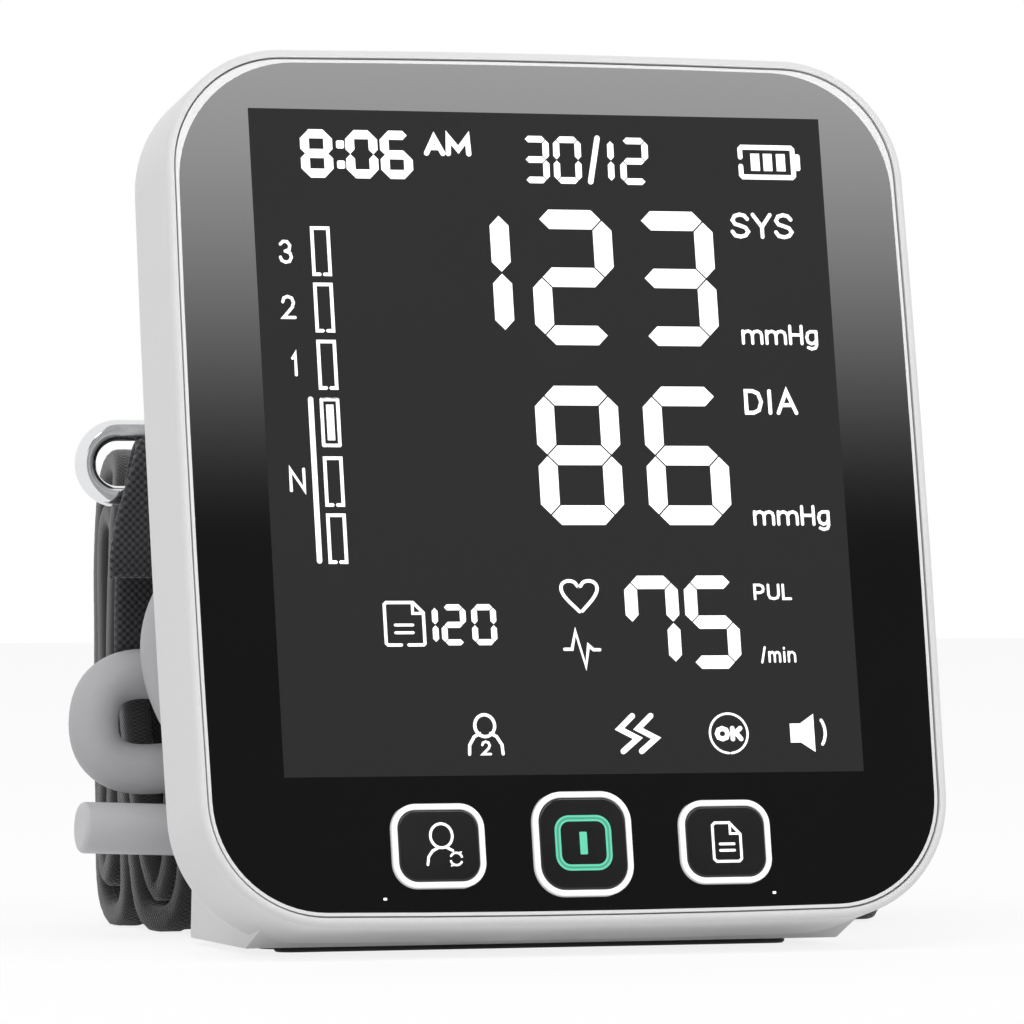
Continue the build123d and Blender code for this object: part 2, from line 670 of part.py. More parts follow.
def make_air_jack():
    """The socket in the right wall that takes the cuff's plug, with its inner barb."""
    wall = CASE_WIDTH / 2 - SIDE_BOW / 2
    at = Plane(origin=(wall, JACK_UP, -JACK_DEPTH), z_dir=(1, 0, 0))
    body = layer(Circle(JACK_RADIUS), JACK_PROUD, -JACK_LENGTH)
    body += layer(Circle(JACK_FLANGE), -WALL - FIT, -WALL - FIT - JACK_FLANGE_THICK)
    body += layer(Circle(TUBE_BORE), -JACK_LENGTH, -JACK_LENGTH - BARB)
    body -= layer(Circle(JACK_BORE), CUT, -JACK_LENGTH + JACK_FLOOR)
    hole = layer(Circle(JACK_RADIUS + FIT / 2), WALL, -2 * WALL)
    return leaned(at.location * body), leaned(at.location * hole)


def make_small_pieces():
    """The speaker behind its grille, the case screws and the feet."""
    speaker = Pos(BAY_X, SPEAKER_UP) * Circle(SPEAKER_RADIUS)
    body = layer(speaker, -WALL, -WALL - SPEAKER_THICK)
    keep("speaker", on_back(fillet(body.faces().sort_by(Axis.Z)[0].edges(), SPEAKER_EDGE)))
    screws = []
    for x, y in SCREWS:
        place = Pos(x, y)
        head = layer(place * Circle(SCREW_HEAD_RADIUS), SCREW_SEAT, SCREW_SEAT - SCREW_HEAD)
        outer = SCREW_SEAT - SCREW_HEAD
        head -= layer(place * Rectangle(CROSS_LENGTH, CROSS_WIDTH), outer + CROSS_DEPTH, outer)
        head -= layer(place * Rectangle(CROSS_WIDTH, CROSS_LENGTH), outer + CROSS_DEPTH, outer)
        shank = layer(place * Circle(SCREW_RADIUS - SCREW_PLAY), SCREW_SEAT + SCREW_LENGTH, SCREW_SEAT)
        screws.append(leaned(head + shank))
    keep("case_screws", Compound(screws))
    feet = []
    for i in range(FOOT_COUNT):
        y = FOOT_FRONT + i * (FOOT_REAR - FOOT_FRONT) / (FOOT_COUNT - 1) - BASE_MIDDLE
        foot = extrude(Pos(0, y) * SlotOverall(FOOT_LENGTH, FOOT_WIDTH), FOOT_HEIGHT)
        feet.append(chamfer(foot.faces().sort_by(Axis.Z)[0].edges(), FOOT_EDGE))
    keep("rubber_feet", Compound(feet))


def band(points, radii, thick):
    """The YZ outline of a soft layer that follows a bent line."""
    path = FilletPolyline(*points, radius=radii)
    return Plane.YZ * make_face(offset(path, thick / 2))


def make_cuff():
    """The folded band with the bladder in its front pocket, and its hook patch."""
    half = BAND_THICK / 2
    step = BAND_THICK + BAND_GAP
    front = CUFF_FRONT + half - BASE_MIDDLE
    back = front + CUFF_ROLL_DEPTH - BAND_THICK
    low, high = half, CUFF_ROLL_HEIGHT - half
    route = [
        (back, low + FLAP_END),
        (back, high),
        (front, high),
        (front, low),
        (back - step, low),
        (back - step, high - step),
        (front + step, high - step),
        (front + step, low + step),
        (back - 2 * step, low + step),
        (back - 2 * step, high - 2 * step),
        (front + 2 * step, high - 2 * step),
        (front + 2 * step, low + 2 * step),
    ]
    radii = [FOLD_RADII[i // 2] for i in range(len(route) - 2)]
    roll = extrude(Pos(CUFF_LEFT, 0, 0) * band(route, radii, BAND_THICK), CUFF_WIDTH)
    pocket = [(front, high - POCKET_TOP), (front, low), (front + POCKET_RETURN, low)]
    margin = (CUFF_WIDTH - BLADDER_WIDTH) / 2
    place = Pos(CUFF_LEFT + margin, 0, 0)
    bladder = extrude(place * band(pocket, FOLD_RADII[1], BLADDER_THICK), BLADDER_WIDTH)
    room = extrude(place * band(pocket, FOLD_RADII[1], BLADDER_THICK + FIT), BLADDER_WIDTH)
    roll -= room
    inlet = (GROMMET_X, front, GROMMET_Z)
    roll -= rod(NIPPLE_RADIUS, (GROMMET_X, front - BAND_THICK, GROMMET_Z), inlet)
    keep("cuff_band", roll)
    keep("bladder", bladder)
    patch = Plane.XZ.offset(-(back + half)) * (
        Pos(CUFF_LEFT + CUFF_WIDTH / 2, CUFF_ROLL_HEIGHT / 2 + HOOK_RISE)
        * RectangleRounded(HOOK_WIDTH, HOOK_HEIGHT, HOOK_CORNER)
    )
    keep("hook_patch", extrude(patch, -HOOK_THICK))


def make_ring_and_strap():
    """The steel ring, and the strap sewn round its lower bar."""
    y, low = shifted(RING_Y, RING_BAR_Z)
    wire = RING_WIRE / 2
    high = low + RING_HEIGHT - RING_WIRE
    bend = (high - low) / 2
    left = RING_LEFT + wire + bend
    right = RING_LEFT + RING_LENGTH - wire - bend
    ring = rod(wire, (left, y, low), (right, y, low))
    ring += rod(wire, (left, y, high), (right, y, high))
    for x, turn in ((left, -1), (right, 1)):
        section = Plane.YZ * Circle(wire)
        end = revolve(Pos(x, y, low) * section, Axis((x, y, low + bend), (0, 1, 0)), -180 * turn)
        ring += end
    keep("d_ring", ring)

    reach = wire + STRAP_FIT + STRAP_THICK / 2
    top = low + reach
    rear = CUFF_FRONT - BASE_MIDDLE - STRAP_THICK / 2
    route = [
        (y - reach, top - STRAP_TAIL - reach),
        (y - reach, top),
        (y + reach, top),
        (y + reach, low - STRAP_NECK),
        (rear, low - STRAP_DROP),
        (rear, low - STRAP_DROP - STRAP_SEAM),
    ]
    strap = band(route, [reach - STRAP_FIT / 4, reach - STRAP_FIT / 4, STRAP_BEND, STRAP_BEND], STRAP_THICK)
    keep("ring_strap", extrude(Pos(STRAP_LEFT, 0, 0) * strap, STRAP_WIDTH))


def make_hose():
    """The rubber hose, the elbow where it enters the bladder, and its plug."""
    points = [Vector(x, y - BASE_MIDDLE, z) for x, y, z in HOSE_ROUTE]
    runs = [(b - a).length for a, b in zip(points, points[1:])]
    radii = []
    for i in range(1, len(points) - 1):
        turn = (points[i] - points[i - 1]).get_angle(points[i + 1] - points[i])
        radii.append(0.45 * min(runs[i - 1], runs[i]) / tan(radians(turn / 2)))
    print("hose radii", [round(r, 1) for r in radii], "runs", [round(r) for r in runs])
    path = FilletPolyline(*points, radius=radii)
    start = Plane(origin=path @ 0, z_dir=path % 0)
    hose = sweep(start * Circle(HOSE_RADIUS), path)
    print("hose length", round(path.length, 1), "volume", round(hose.volume),
          "section by length", round(pi * HOSE_RADIUS**2 * path.length))
    keep("air_hose", hose)

    face = CUFF_FRONT - BASE_MIDDLE
    first = points[0]
    heading = (points[1] - points[0]).normalized()
    middle = (GROMMET_X, face, GROMMET_Z)
    elbow = rod(GROMMET_RADIUS, middle, (GROMMET_X, face - GROMMET_THICK, GROMMET_Z))
    elbow += rod(HOSE_RADIUS, middle, (GROMMET_X, first.Y + CUT, GROMMET_Z))
    behind = first - heading * (GROMMET_X - first.X)
    elbow += rod(ELBOW_RADIUS, tuple(behind), tuple(first))
    elbow += Pos(*behind) * Sphere(ELBOW_RADIUS)
    keep("hose_grommet", elbow)

    tip = points[-1]
    heading = (points[-1] - points[-2]).normalized()
    end = tip + heading * PLUG_LENGTH
    plug = rod(PLUG_RADIUS, tuple(tip), tuple(end))
    plug = fillet(plug.faces().sort_by(Axis.X)[0].edges(), PLUG_EDGE)
    root = end - heading * NIPPLE_FROM_END
    nipple_end = root + Vector(0, PLUG_RADIUS + NIPPLE_LENGTH, 0)
    nipple = rod(NIPPLE_RADIUS, tuple(root), tuple(nipple_end))
    nipple = chamfer(nipple.faces().sort_by(Axis.Y)[-1].edges(), NIPPLE_EDGE)
    groove = root + Vector(0, PLUG_RADIUS + NIPPLE_LENGTH * SEAL_PLACE, 0)
    seat = Plane(origin=groove, z_dir=(0, 1, 0))
    ring = seat.location * Torus(NIPPLE_RADIUS - FIT / 2, SEAL_RADIUS)
    keep("air_plug", plug + nipple - ring)
    keep("plug_seal", ring)


keep("front_case", make_front_case())
keep("trim_ring", make_trim_ring())
keep("front_panel", make_front_panel())
make_display()
make_keys()
make_board()
jack, jack_hole = make_air_jack()
keep("air_jack", jack)
keep("rear_case", make_rear_case() - jack_hole)
keep("battery_door", make_battery_door())
make_batteries()
make_air_system()
make_small_pieces()
make_cuff()
make_ring_and_strap()
make_hose()

for name, shape in PARTS.items():
    export_step(shape, f"parts/{name}.step")
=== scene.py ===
from math import cos, pi, radians, sin

import bmesh
import bpy
import numpy as np
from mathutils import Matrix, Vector


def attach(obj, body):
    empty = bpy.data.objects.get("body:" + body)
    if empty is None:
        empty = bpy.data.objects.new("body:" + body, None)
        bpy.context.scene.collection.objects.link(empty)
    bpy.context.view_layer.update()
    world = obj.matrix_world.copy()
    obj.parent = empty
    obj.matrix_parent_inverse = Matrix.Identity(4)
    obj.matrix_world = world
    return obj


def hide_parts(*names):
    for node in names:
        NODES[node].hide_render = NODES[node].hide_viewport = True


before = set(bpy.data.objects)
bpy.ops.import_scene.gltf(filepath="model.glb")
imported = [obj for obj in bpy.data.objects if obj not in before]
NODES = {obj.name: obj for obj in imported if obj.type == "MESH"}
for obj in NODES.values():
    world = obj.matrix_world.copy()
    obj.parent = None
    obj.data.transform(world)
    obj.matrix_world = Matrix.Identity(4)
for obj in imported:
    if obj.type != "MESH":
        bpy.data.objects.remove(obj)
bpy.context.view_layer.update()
MM = 0.001

# The display face: u runs to the right, v up the face and w outwards, in millimetres.
LEAN = radians(11.0)
FACE_ORIGIN = np.array([0.0, -36.0, 5.007])
FACE_U = np.array([1.0, 0.0, 0.0])
FACE_V = np.array([0.0, sin(LEAN), cos(LEAN)])
FACE_W = np.array([0.0, -cos(LEAN), sin(LEAN)])
GLASS_FRONT = -0.25
KEY_FRONT = 0.35
KEY_SIGN = KEY_FRONT + 0.01
KEY_LINE = KEY_FRONT + 0.02
PRINT_THICK = 0.02


def on_face(u, v, w):
    """Millimetres on the display face to metres in the room: origin + u U + v V + w W."""
    u, v, w = np.broadcast_arrays(u, v, w)
    place = FACE_ORIGIN + u[..., None] * FACE_U + v[..., None] * FACE_V + w[..., None] * FACE_W
    return place * MM


def new_piece(name, verts, faces, uv=None, smooth=True):
    """A mesh object from arrays of points and faces, with one UV pair for each point."""
    mesh = bpy.data.meshes.new(name)
    mesh.from_pydata(np.asarray(verts, float).tolist(), [], np.asarray(faces).tolist())
    if uv is not None:
        layer = mesh.uv_layers.new(name="cloth")
        corner = np.empty(len(mesh.loops), np.int32)
        mesh.loops.foreach_get("vertex_index", corner)
        layer.data.foreach_set("uv", np.asarray(uv, np.float32)[corner].ravel())
    mesh.polygons.foreach_set("use_smooth", np.full(len(mesh.polygons), smooth))
    mesh.update()
    piece = bpy.data.objects.new(name, mesh)
    bpy.context.scene.collection.objects.link(piece)
    return piece


def grid_faces(rows, columns, closed_rows=False, closed_columns=False):
    """Quads between neighbouring points of a rows by columns grid, wrapped where it closes."""
    i = np.arange(rows if closed_rows else rows - 1)
    j = np.arange(columns if closed_columns else columns - 1)
    i, j = [a.ravel() for a in np.meshgrid(i, j, indexing="ij")]
    i2, j2 = (i + 1) % rows, (j + 1) % columns
    return np.stack([i * columns + j, i2 * columns + j, i2 * columns + j2, i * columns + j2], 1)


def shader(name):
    """An empty material with its Principled shader and a helper that adds linked nodes."""
    material = bpy.data.materials.new(name)
    material.use_nodes = True
    tree = material.node_tree
    principled = tree.nodes["Principled BSDF"]

    def add(kind, inputs=(), **settings):
        node = tree.nodes.new(kind)
        for key, value in settings.items():
            setattr(node, key, value)
        for key, value in dict(inputs).items():
            if isinstance(value, bpy.types.NodeSocket):
                tree.links.new(value, node.inputs[key])
            else:
                node.inputs[key].default_value = value
        return node

    return material, principled, add, tree


def grey(value):
    """A neutral colour from one number."""
    return (value, value, value, 1.0)


def mottled(add, tree, principled, place, colour, spread, scale, rough, rough_spread):
    """Colour and roughness that drift with noise: colour x (1 - spread .. 1 + spread)."""
    low, high = 0.3, 0.7
    noise = add("ShaderNodeTexNoise", {"Vector": place, "Scale": scale, "Detail": 5.0, "Roughness": 0.6})
    ramp = add("ShaderNodeValToRGB", {"Fac": noise.outputs["Fac"]})
    for end, at, share in zip(ramp.color_ramp.elements, (low, high), (1 - spread, 1 + spread)):
        end.position = at
        end.color = tuple(min(1.0, c * share) for c in colour[:3]) + (1.0,)
    tree.links.new(ramp.outputs["Color"], principled.inputs["Base Color"])
    gloss = add("ShaderNodeMapRange", {
        "Value": noise.outputs["Fac"], "From Min": low, "From Max": high,
        "To Min": rough - rough_spread, "To Max": rough + rough_spread})
    tree.links.new(gloss.outputs["Result"], principled.inputs["Roughness"])


def moulded(name, colour, rough, spread, grain, depth, specular=0.5):
    """Moulded or pressed stuff: a faint drift of colour and gloss, and a fine grain."""
    material, principled, add, tree = shader(name)
    place = add("ShaderNodeTexCoord").outputs["Object"]
    mottled(add, tree, principled, place, colour, spread, 45.0, rough, rough * 0.12)
    fine = add("ShaderNodeTexNoise", {"Vector": place, "Scale": grain, "Detail": 2.0})
    bump = add("ShaderNodeBump", {"Height": fine.outputs["Fac"], "Strength": 0.5, "Distance": depth})
    tree.links.new(bump.outputs["Normal"], principled.inputs["Normal"])
    principled.inputs["Specular IOR Level"].default_value = specular
    return material


def painted_glow(name, colour, strength):
    """Signs, figures and key borders in their own colour, partly given off as light: a painted glow, as none
    of them is a lamp.
    """
    material, principled, add, tree = shader(name)
    place = add("ShaderNodeTexCoord").outputs["Object"]
    mottled(add, tree, principled, place, colour, 0.01, 300.0, 0.5, 0.03)
    # Painted glow: emission on marks that give off no light of their own.
    principled.inputs["Emission Color"].default_value = colour
    principled.inputs["Emission Strength"].default_value = strength
    return material


def woven(name, colour, pitch, depth, sheen, light):
    """Woven cloth on the piece's own UV in metres: threads over and under at one pitch.

    Height is sin(u k) sin(v k) with k = 2 pi / pitch, plus a fine fuzz of noise. The colour runs from 0.55 of
    the given one in the hollows, a painted shade, to light times it on the threads, a painted highlight."""
    material, principled, add, tree = shader(name)
    uv = add("ShaderNodeUVMap", uv_map="cloth").outputs["UV"]
    split = add("ShaderNodeSeparateXYZ", {"Vector": uv})
    waves = []
    for axis in ("X", "Y"):
        turn = add("ShaderNodeMath", {0: split.outputs[axis], 1: 2 * pi / pitch}, operation="MULTIPLY")
        waves.append(add("ShaderNodeMath", {0: turn.outputs[0]}, operation="SINE").outputs[0])
    cross = add("ShaderNodeMath", {0: waves[0], 1: waves[1]}, operation="MULTIPLY")
    lift = add("ShaderNodeMapRange", {"Value": cross.outputs[0], "From Min": -1.0, "From Max": 1.0})
    height = lift.outputs["Result"]
    place = add("ShaderNodeTexCoord").outputs["Object"]
    cloud = add("ShaderNodeTexNoise", {"Vector": place, "Scale": 60.0, "Detail": 4.0})
    fuzz = add("ShaderNodeTexNoise", {"Vector": place, "Scale": 2500.0, "Detail": 2.0})
    # Painted shade in the weave's hollows and painted highlight on its threads.
    mix = add("ShaderNodeMix", {"Factor": height}, data_type="RGBA")
    dark = tuple(c * 0.55 for c in colour[:3]) + (1.0,)
    pale = tuple(min(1.0, c * light) for c in colour[:3]) + (1.0,)
    mix.inputs[6].default_value = dark
    mix.inputs[7].default_value = pale
    shade = add("ShaderNodeMix", {"Factor": cloud.outputs["Fac"]}, data_type="RGBA", blend_type="MULTIPLY")
    tree.links.new(mix.outputs[2], shade.inputs[6])
    shade.inputs[7].default_value = grey(0.55)
    tree.links.new(shade.outputs[2], principled.inputs["Base Color"])
    relief = add("ShaderNodeMath", {0: height, 1: fuzz.outputs["Fac"]}, operation="ADD")
    bump = add("ShaderNodeBump", {"Height": relief.outputs[0], "Strength": 0.9, "Distance": depth})
    tree.links.new(bump.outputs["Normal"], principled.inputs["Normal"])
    principled.inputs["Roughness"].default_value = 0.82
    principled.inputs["Specular IOR Level"].default_value = 0.25
    principled.inputs["Sheen Weight"].default_value = sheen
    principled.inputs["Sheen Roughness"].default_value = 0.45
    return material


def brushed(name, colour, rough, streak):
    """Plated or drawn metal: mirror bright, with faint streaks drawn along X."""
    material, principled, add, tree = shader(name)
    place = add("ShaderNodeTexCoord").outputs["Object"]
    drawn = add("ShaderNodeMapping", {"Vector": place, "Scale": (30.0, 900.0, 900.0)})
    mottled(add, tree, principled, place, colour, 0.02, 80.0, rough, rough * 0.3)
    noise = add("ShaderNodeTexNoise", {"Vector": drawn.outputs["Vector"], "Scale": 1.0, "Detail": 3.0})
    bump = add("ShaderNodeBump", {"Height": noise.outputs["Fac"], "Strength": 0.3, "Distance": streak})
    tree.links.new(bump.outputs["Normal"], principled.inputs["Normal"])
    principled.inputs["Metallic"].default_value = 1.0
    return material


def ringed(name, colour, end_colour, low, high):
    """A sleeve whose colour changes to its end's between two heights in metres."""
    material, principled, add, tree = shader(name)
    place = add("ShaderNodeTexCoord").outputs["Object"]
    split = add("ShaderNodeSeparateXYZ", {"Vector": place})
    step = add("ShaderNodeMapRange", {"Value": split.outputs["Z"], "From Min": low, "From Max": high})
    mix = add("ShaderNodeMix", {"Factor": step.outputs["Result"]}, data_type="RGBA")
    mix.inputs[6].default_value = colour
    mix.inputs[7].default_value = end_colour
    noise = add("ShaderNodeTexNoise", {"Vector": place, "Scale": 400.0})
    gloss = add("ShaderNodeMapRange", {"Value": noise.outputs["Fac"], "To Min": 0.25, "To Max": 0.4})
    tree.links.new(mix.outputs[2], principled.inputs["Base Color"])
    tree.links.new(gloss.outputs["Result"], principled.inputs["Roughness"])
    return material


WHITE = moulded("white shell", grey(0.80), 0.42, 0.008, 1400.0, 0.000012, 0.45)
RIM_WHITE = moulded("white trim", grey(0.86), 0.30, 0.005, 1400.0, 0.000008, 0.5)
PANEL_BLACK = moulded("black glass", grey(0.0062), 0.035, 0.05, 60.0, 0.0000004, 0.5)
WINDOW_DARK = moulded("dark display", grey(0.029), 0.42, 0.01, 1200.0, 0.000004, 0.04)
KEY_BLACK = moulded("black key", grey(0.0065), 0.16, 0.05, 80.0, 0.0000008, 0.5)
# Key borders: white plastic with a painted glow.
KEY_WHITE_GLOW = painted_glow("key border white, painted glow", grey(0.92), 0.35)
# Display figures, key signs and panel dots: white print with a painted glow.
FIGURE_WHITE_GLOW = painted_glow("figure white, painted glow", grey(0.95), 0.55)
# Start key sign: mint print with a painted glow; its line is deeper mint with a fainter painted glow.
MINT = painted_glow("mint green, painted glow", (0.105, 0.60, 0.385, 1.0), 0.28)
DEEP_MINT = painted_glow("deep mint, painted glow", (0.055, 0.36, 0.24, 1.0), 0.15)
HOSE_GREY = moulded("grey hose rubber", (0.50, 0.50, 0.515, 1.0), 0.5, 0.03, 1800.0, 0.00004, 0.35)
PLUG_PALE = moulded("pale plug", (0.60, 0.60, 0.62, 1.0), 0.38, 0.03, 1500.0, 0.00003, 0.5)
STEEL = brushed("bright plated steel", (0.78, 0.79, 0.80, 1.0), 0.07, 0.000004)
# Each cloth's last number sets how much its threads are lightened as a painted highlight.
CLOTH = woven("black cuff cloth", (0.020, 0.020, 0.021, 1.0), 0.0009, 0.00018, 0.22, 2.1)
STRAP_CLOTH = woven("black strap weave", (0.020, 0.020, 0.022, 1.0), 0.0013, 0.00035, 0.35, 5.5)
# Edge binding: its colour, lighter than the cloth's, is a painted highlight along the bound edges.
PIPING = woven("edge binding, painted highlight", (0.05, 0.05, 0.052, 1.0), 0.0006, 0.00012, 0.5, 2.2)
RUBBER = moulded("black rubber", grey(0.02), 0.7, 0.1, 1500.0, 0.00008, 0.3)


# Signs on the display and the keys

def ribbon(points, width, closed=False):
    """A flat stroke of one width along a bent line, with mitred corners and round ends.

    Each point p gets two edges p +- m h, where m is the mean of its two runs' normals and
    h the half width over the cosine between them. At an end, h = r sin t and the point
    lies r cos t beyond it, for t from 0 to 90 degrees."""
    sharpest, narrowest = 0.35, 0.02
    p = np.asarray(points, float)
    r = width / 2
    if closed:
        before, after = p - np.roll(p, 1, 0), np.roll(p, -1, 0) - p
        half = np.full(len(p), r)
    else:
        bend = np.linspace(0, pi / 2, 6)
        start, end = p[0] - p[1], p[-1] - p[-2]
        start, end = start / np.hypot(*start), end / np.hypot(*end)
        head = p[0] + start * (r * np.cos(bend))[:, None]
        tail = p[-1] + end * (r * np.sin(bend))[:, None]
        half = np.concatenate([r * np.sin(bend), np.full(len(p) - 2, r), r * np.cos(bend)])
        half = np.maximum(half, r * narrowest)
        p = np.concatenate([head, p[1:-1], tail])
        step = np.diff(p, axis=0)
        before, after = np.concatenate([step[:1], step]), np.concatenate([step, step[-1:]])
    before = before / np.linalg.norm(before, axis=1)[:, None]
    after = after / np.linalg.norm(after, axis=1)[:, None]
    mean = before + after
    mean /= np.maximum(np.linalg.norm(mean, axis=1), 1e-9)[:, None]
    normal = np.stack([-mean[:, 1], mean[:, 0]], 1)
    share = np.maximum(np.abs((mean * after).sum(1)), sharpest)
    edge = normal * (half / share)[:, None]
    flat = np.stack([p + edge, p - edge], 1).reshape(-1, 2)
    return flat, grid_faces(len(p), 2, closed_rows=closed)


def arc(centre, radius, start, end, count=20):
    """Points on an ellipse from one angle to another, in degrees."""
    turn = np.radians(np.linspace(start, end, count))
    radius = np.broadcast_to(radius, 2)
    return np.stack([centre[0] + radius[0] * np.cos(turn), centre[1] + radius[1] * np.sin(turn)], 1)


def blade(x0, y0, x1, y1, thick, tip=0.5):
    """One bar of a figure: a straight bar with a pointed tip at each end."""
    a, b = np.array([x0, y0], float), np.array([x1, y1], float)
    along = (b - a) / np.hypot(*(b - a))
    side = np.array([-along[1], along[0]]) * thick / 2
    cut = along * thick * tip
    return np.array([a, a + cut + side, b - cut + side, b, b - cut - side, a + cut - side])


# The bars shown in each figure: a on top, g in the middle, d below, f and b, e and c at the sides
BARS = {
    "0": "abcdef", "1": "bc", "2": "abged", "3": "abgcd",
    "5": "afgcd", "6": "afgecd", "7": "fabc", "8": "abcdefg",
}


def figure(char, left, low, width, height, thick, gap, slant=0.0):
    """A seven bar figure in its box: bars a to g on the box's lines, parted by a gap."""
    t = thick / 2
    x0, x1 = left + t, left + width - t
    y0, y1, ym = low + t, low + height - t, low + height / 2
    ends = {
        "a": (x0, y1, x1, y1), "d": (x0, y0, x1, y0), "g": (x0, ym, x1, ym),
        "b": (x1, y1, x1, ym), "c": (x1, ym, x1, y0), "f": (x0, y1, x0, ym), "e": (x0, ym, x0, y0)}
    shapes = []
    for bar in BARS[char]:
        a = np.array(ends[bar], float)
        run = np.array([a[2] - a[0], a[3] - a[1]])
        run = run / np.hypot(*run) * gap
        blades = blade(a[0] + run[0], a[1] + run[1], a[2] - run[0], a[3] - run[1], thick)
        blades[:, 0] += slant * (blades[:, 1] - low)
        shapes.append((blades, np.array([[0, 1, 2, 3], [0, 3, 4, 5]])))
    return shapes


# The strokes of each letter in a box one wide and one high
LETTERS = {
    "A": [[(0, 0), (0.5, 1), (1, 0)], [(0.2, 0.36), (0.8, 0.36)]],
    "D": [[(0, 0), (0, 1), (0.45, 1), (0.8, 0.88), (0.97, 0.5), (0.8, 0.12), (0.45, 0), (0, 0), (0, 0.3)]],
    "H": [[(0, 0), (0, 1)], [(1, 0), (1, 1)], [(0, 0.5), (1, 0.5)]],
    "I": [[(0.5, 0), (0.5, 1)]],
    "K": [[(0, 0), (0, 1)], [(0.95, 1), (0.1, 0.42)], [(0.4, 0.6), (1, 0)]],
    "L": [[(0, 1), (0, 0), (0.95, 0)]],
    "M": [[(0, 0), (0.04, 1), (0.5, 0.25), (0.96, 1), (1, 0)]],
    "N": [[(0, 0), (0, 1), (1, 0), (1, 1)]],
    "O": [[(0.5, 1), (0.86, 0.86), (1, 0.5), (0.86, 0.14), (0.5, 0), (0.14, 0.14), (0, 0.5),
           (0.14, 0.86), (0.5, 1)]],
    "P": [[(0, 0), (0, 1), (0.6, 1), (0.9, 0.9), (0.97, 0.72), (0.9, 0.54), (0.6, 0.44), (0, 0.44)]],
    "S": [[(0.95, 0.8), (0.78, 0.95), (0.5, 1), (0.2, 0.93), (0.06, 0.74), (0.2, 0.57), (0.5, 0.5),
           (0.82, 0.41), (0.97, 0.23), (0.8, 0.06), (0.5, 0), (0.18, 0.05), (0.02, 0.22)]],
    "U": [[(0, 1), (0, 0.3), (0.14, 0.07), (0.5, 0), (0.86, 0.07), (1, 0.3), (1, 1)]],
    "Y": [[(0, 1), (0.5, 0.45), (1, 1)], [(0.5, 0.45), (0.5, 0)]],
    "g": [[(1, 0.66), (0.8, 0.7), (0.4, 0.7), (0.12, 0.6), (0, 0.36), (0.12, 0.1), (0.45, 0),
           (0.8, 0.06), (0.97, 0.2)],
          [(1, 0.7), (1, -0.06), (0.85, -0.24), (0.45, -0.3), (0.1, -0.22)]],
    "i": [[(0.5, 0), (0.5, 0.7)], [(0.5, 0.96), (0.5, 1.0)]],
    "m": [[(0, 0), (0, 0.7)], [(0, 0.5), (0.12, 0.66), (0.3, 0.7), (0.45, 0.62), (0.5, 0.46), (0.5, 0)],
          [(0.5, 0.5), (0.62, 0.66), (0.8, 0.7), (0.95, 0.62), (1, 0.46), (1, 0)]],
    "n": [[(0, 0), (0, 0.7)], [(0, 0.46), (0.25, 0.67), (0.6, 0.7), (0.9, 0.6), (1, 0.42), (1, 0)]],
    "/": [[(0, -0.05), (1, 1.05)]],
    "1": [[(0.1, 0.78), (0.5, 1), (0.5, 0)]],
    "2": [[(0.04, 0.74), (0.14, 0.92), (0.45, 1), (0.8, 0.92), (0.93, 0.7), (0.8, 0.48), (0.05, 0), (1, 0)]],
    "3": [[(0.05, 0.86), (0.3, 0.99), (0.65, 0.98), (0.88, 0.8), (0.8, 0.6), (0.45, 0.53)],
          [(0.45, 0.53), (0.86, 0.44), (0.97, 0.24), (0.78, 0.04), (0.42, 0), (0.1, 0.09), (0, 0.24)]],
}


def word(text, left, low, widths, height, stroke, gap):
    """Letters side by side, each drawn in its own box of strokes with round ends."""
    shapes = []
    for char, width in zip(text, widths):
        for line in LETTERS[char]:
            size = np.array([width - stroke, height - stroke])
            shapes.append(ribbon(np.array(line) * size + (left + stroke / 2, low + stroke / 2), stroke))
        left += width + gap
    return shapes


def plate(name, shapes, front, thick, material, body):
    """Flat shapes on the face made one thin raised piece: a layer, its copy and its sides."""
    flats, faces, base = [], [], 0
    for flat, quads in shapes:
        flats.append(flat)
        faces.append(np.asarray(quads) + base)
        base += len(flat)
    flat, faces = np.concatenate(flats), np.concatenate(faces)
    a, b, c = (flat[faces[:, k]] for k in (0, 1, 2))
    area = (b[:, 0] - a[:, 0]) * (c[:, 1] - a[:, 1]) - (b[:, 1] - a[:, 1]) * (c[:, 0] - a[:, 0])
    faces[area < 0] = faces[area < 0][:, ::-1]
    piece = new_piece(name, on_face(flat[:, 0], flat[:, 1], front), faces, smooth=False)
    solid = piece.modifiers.new("thickness", "SOLIDIFY")
    solid.thickness = thick * MM
    solid.offset = 1.0
    piece.data.materials.append(material)
    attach(piece, body)
    return piece


def round_box(left, low, right, high, radius, count=6):
    """The corner points of a rectangle with round corners, anticlockwise."""
    corners = [(right - radius, high - radius, 0), (left + radius, high - radius, 90),
               (left + radius, low + radius, 180), (right - radius, low + radius, 270)]
    return np.concatenate([arc((x, y), radius, t, t + 90, count) for x, y, t in corners])


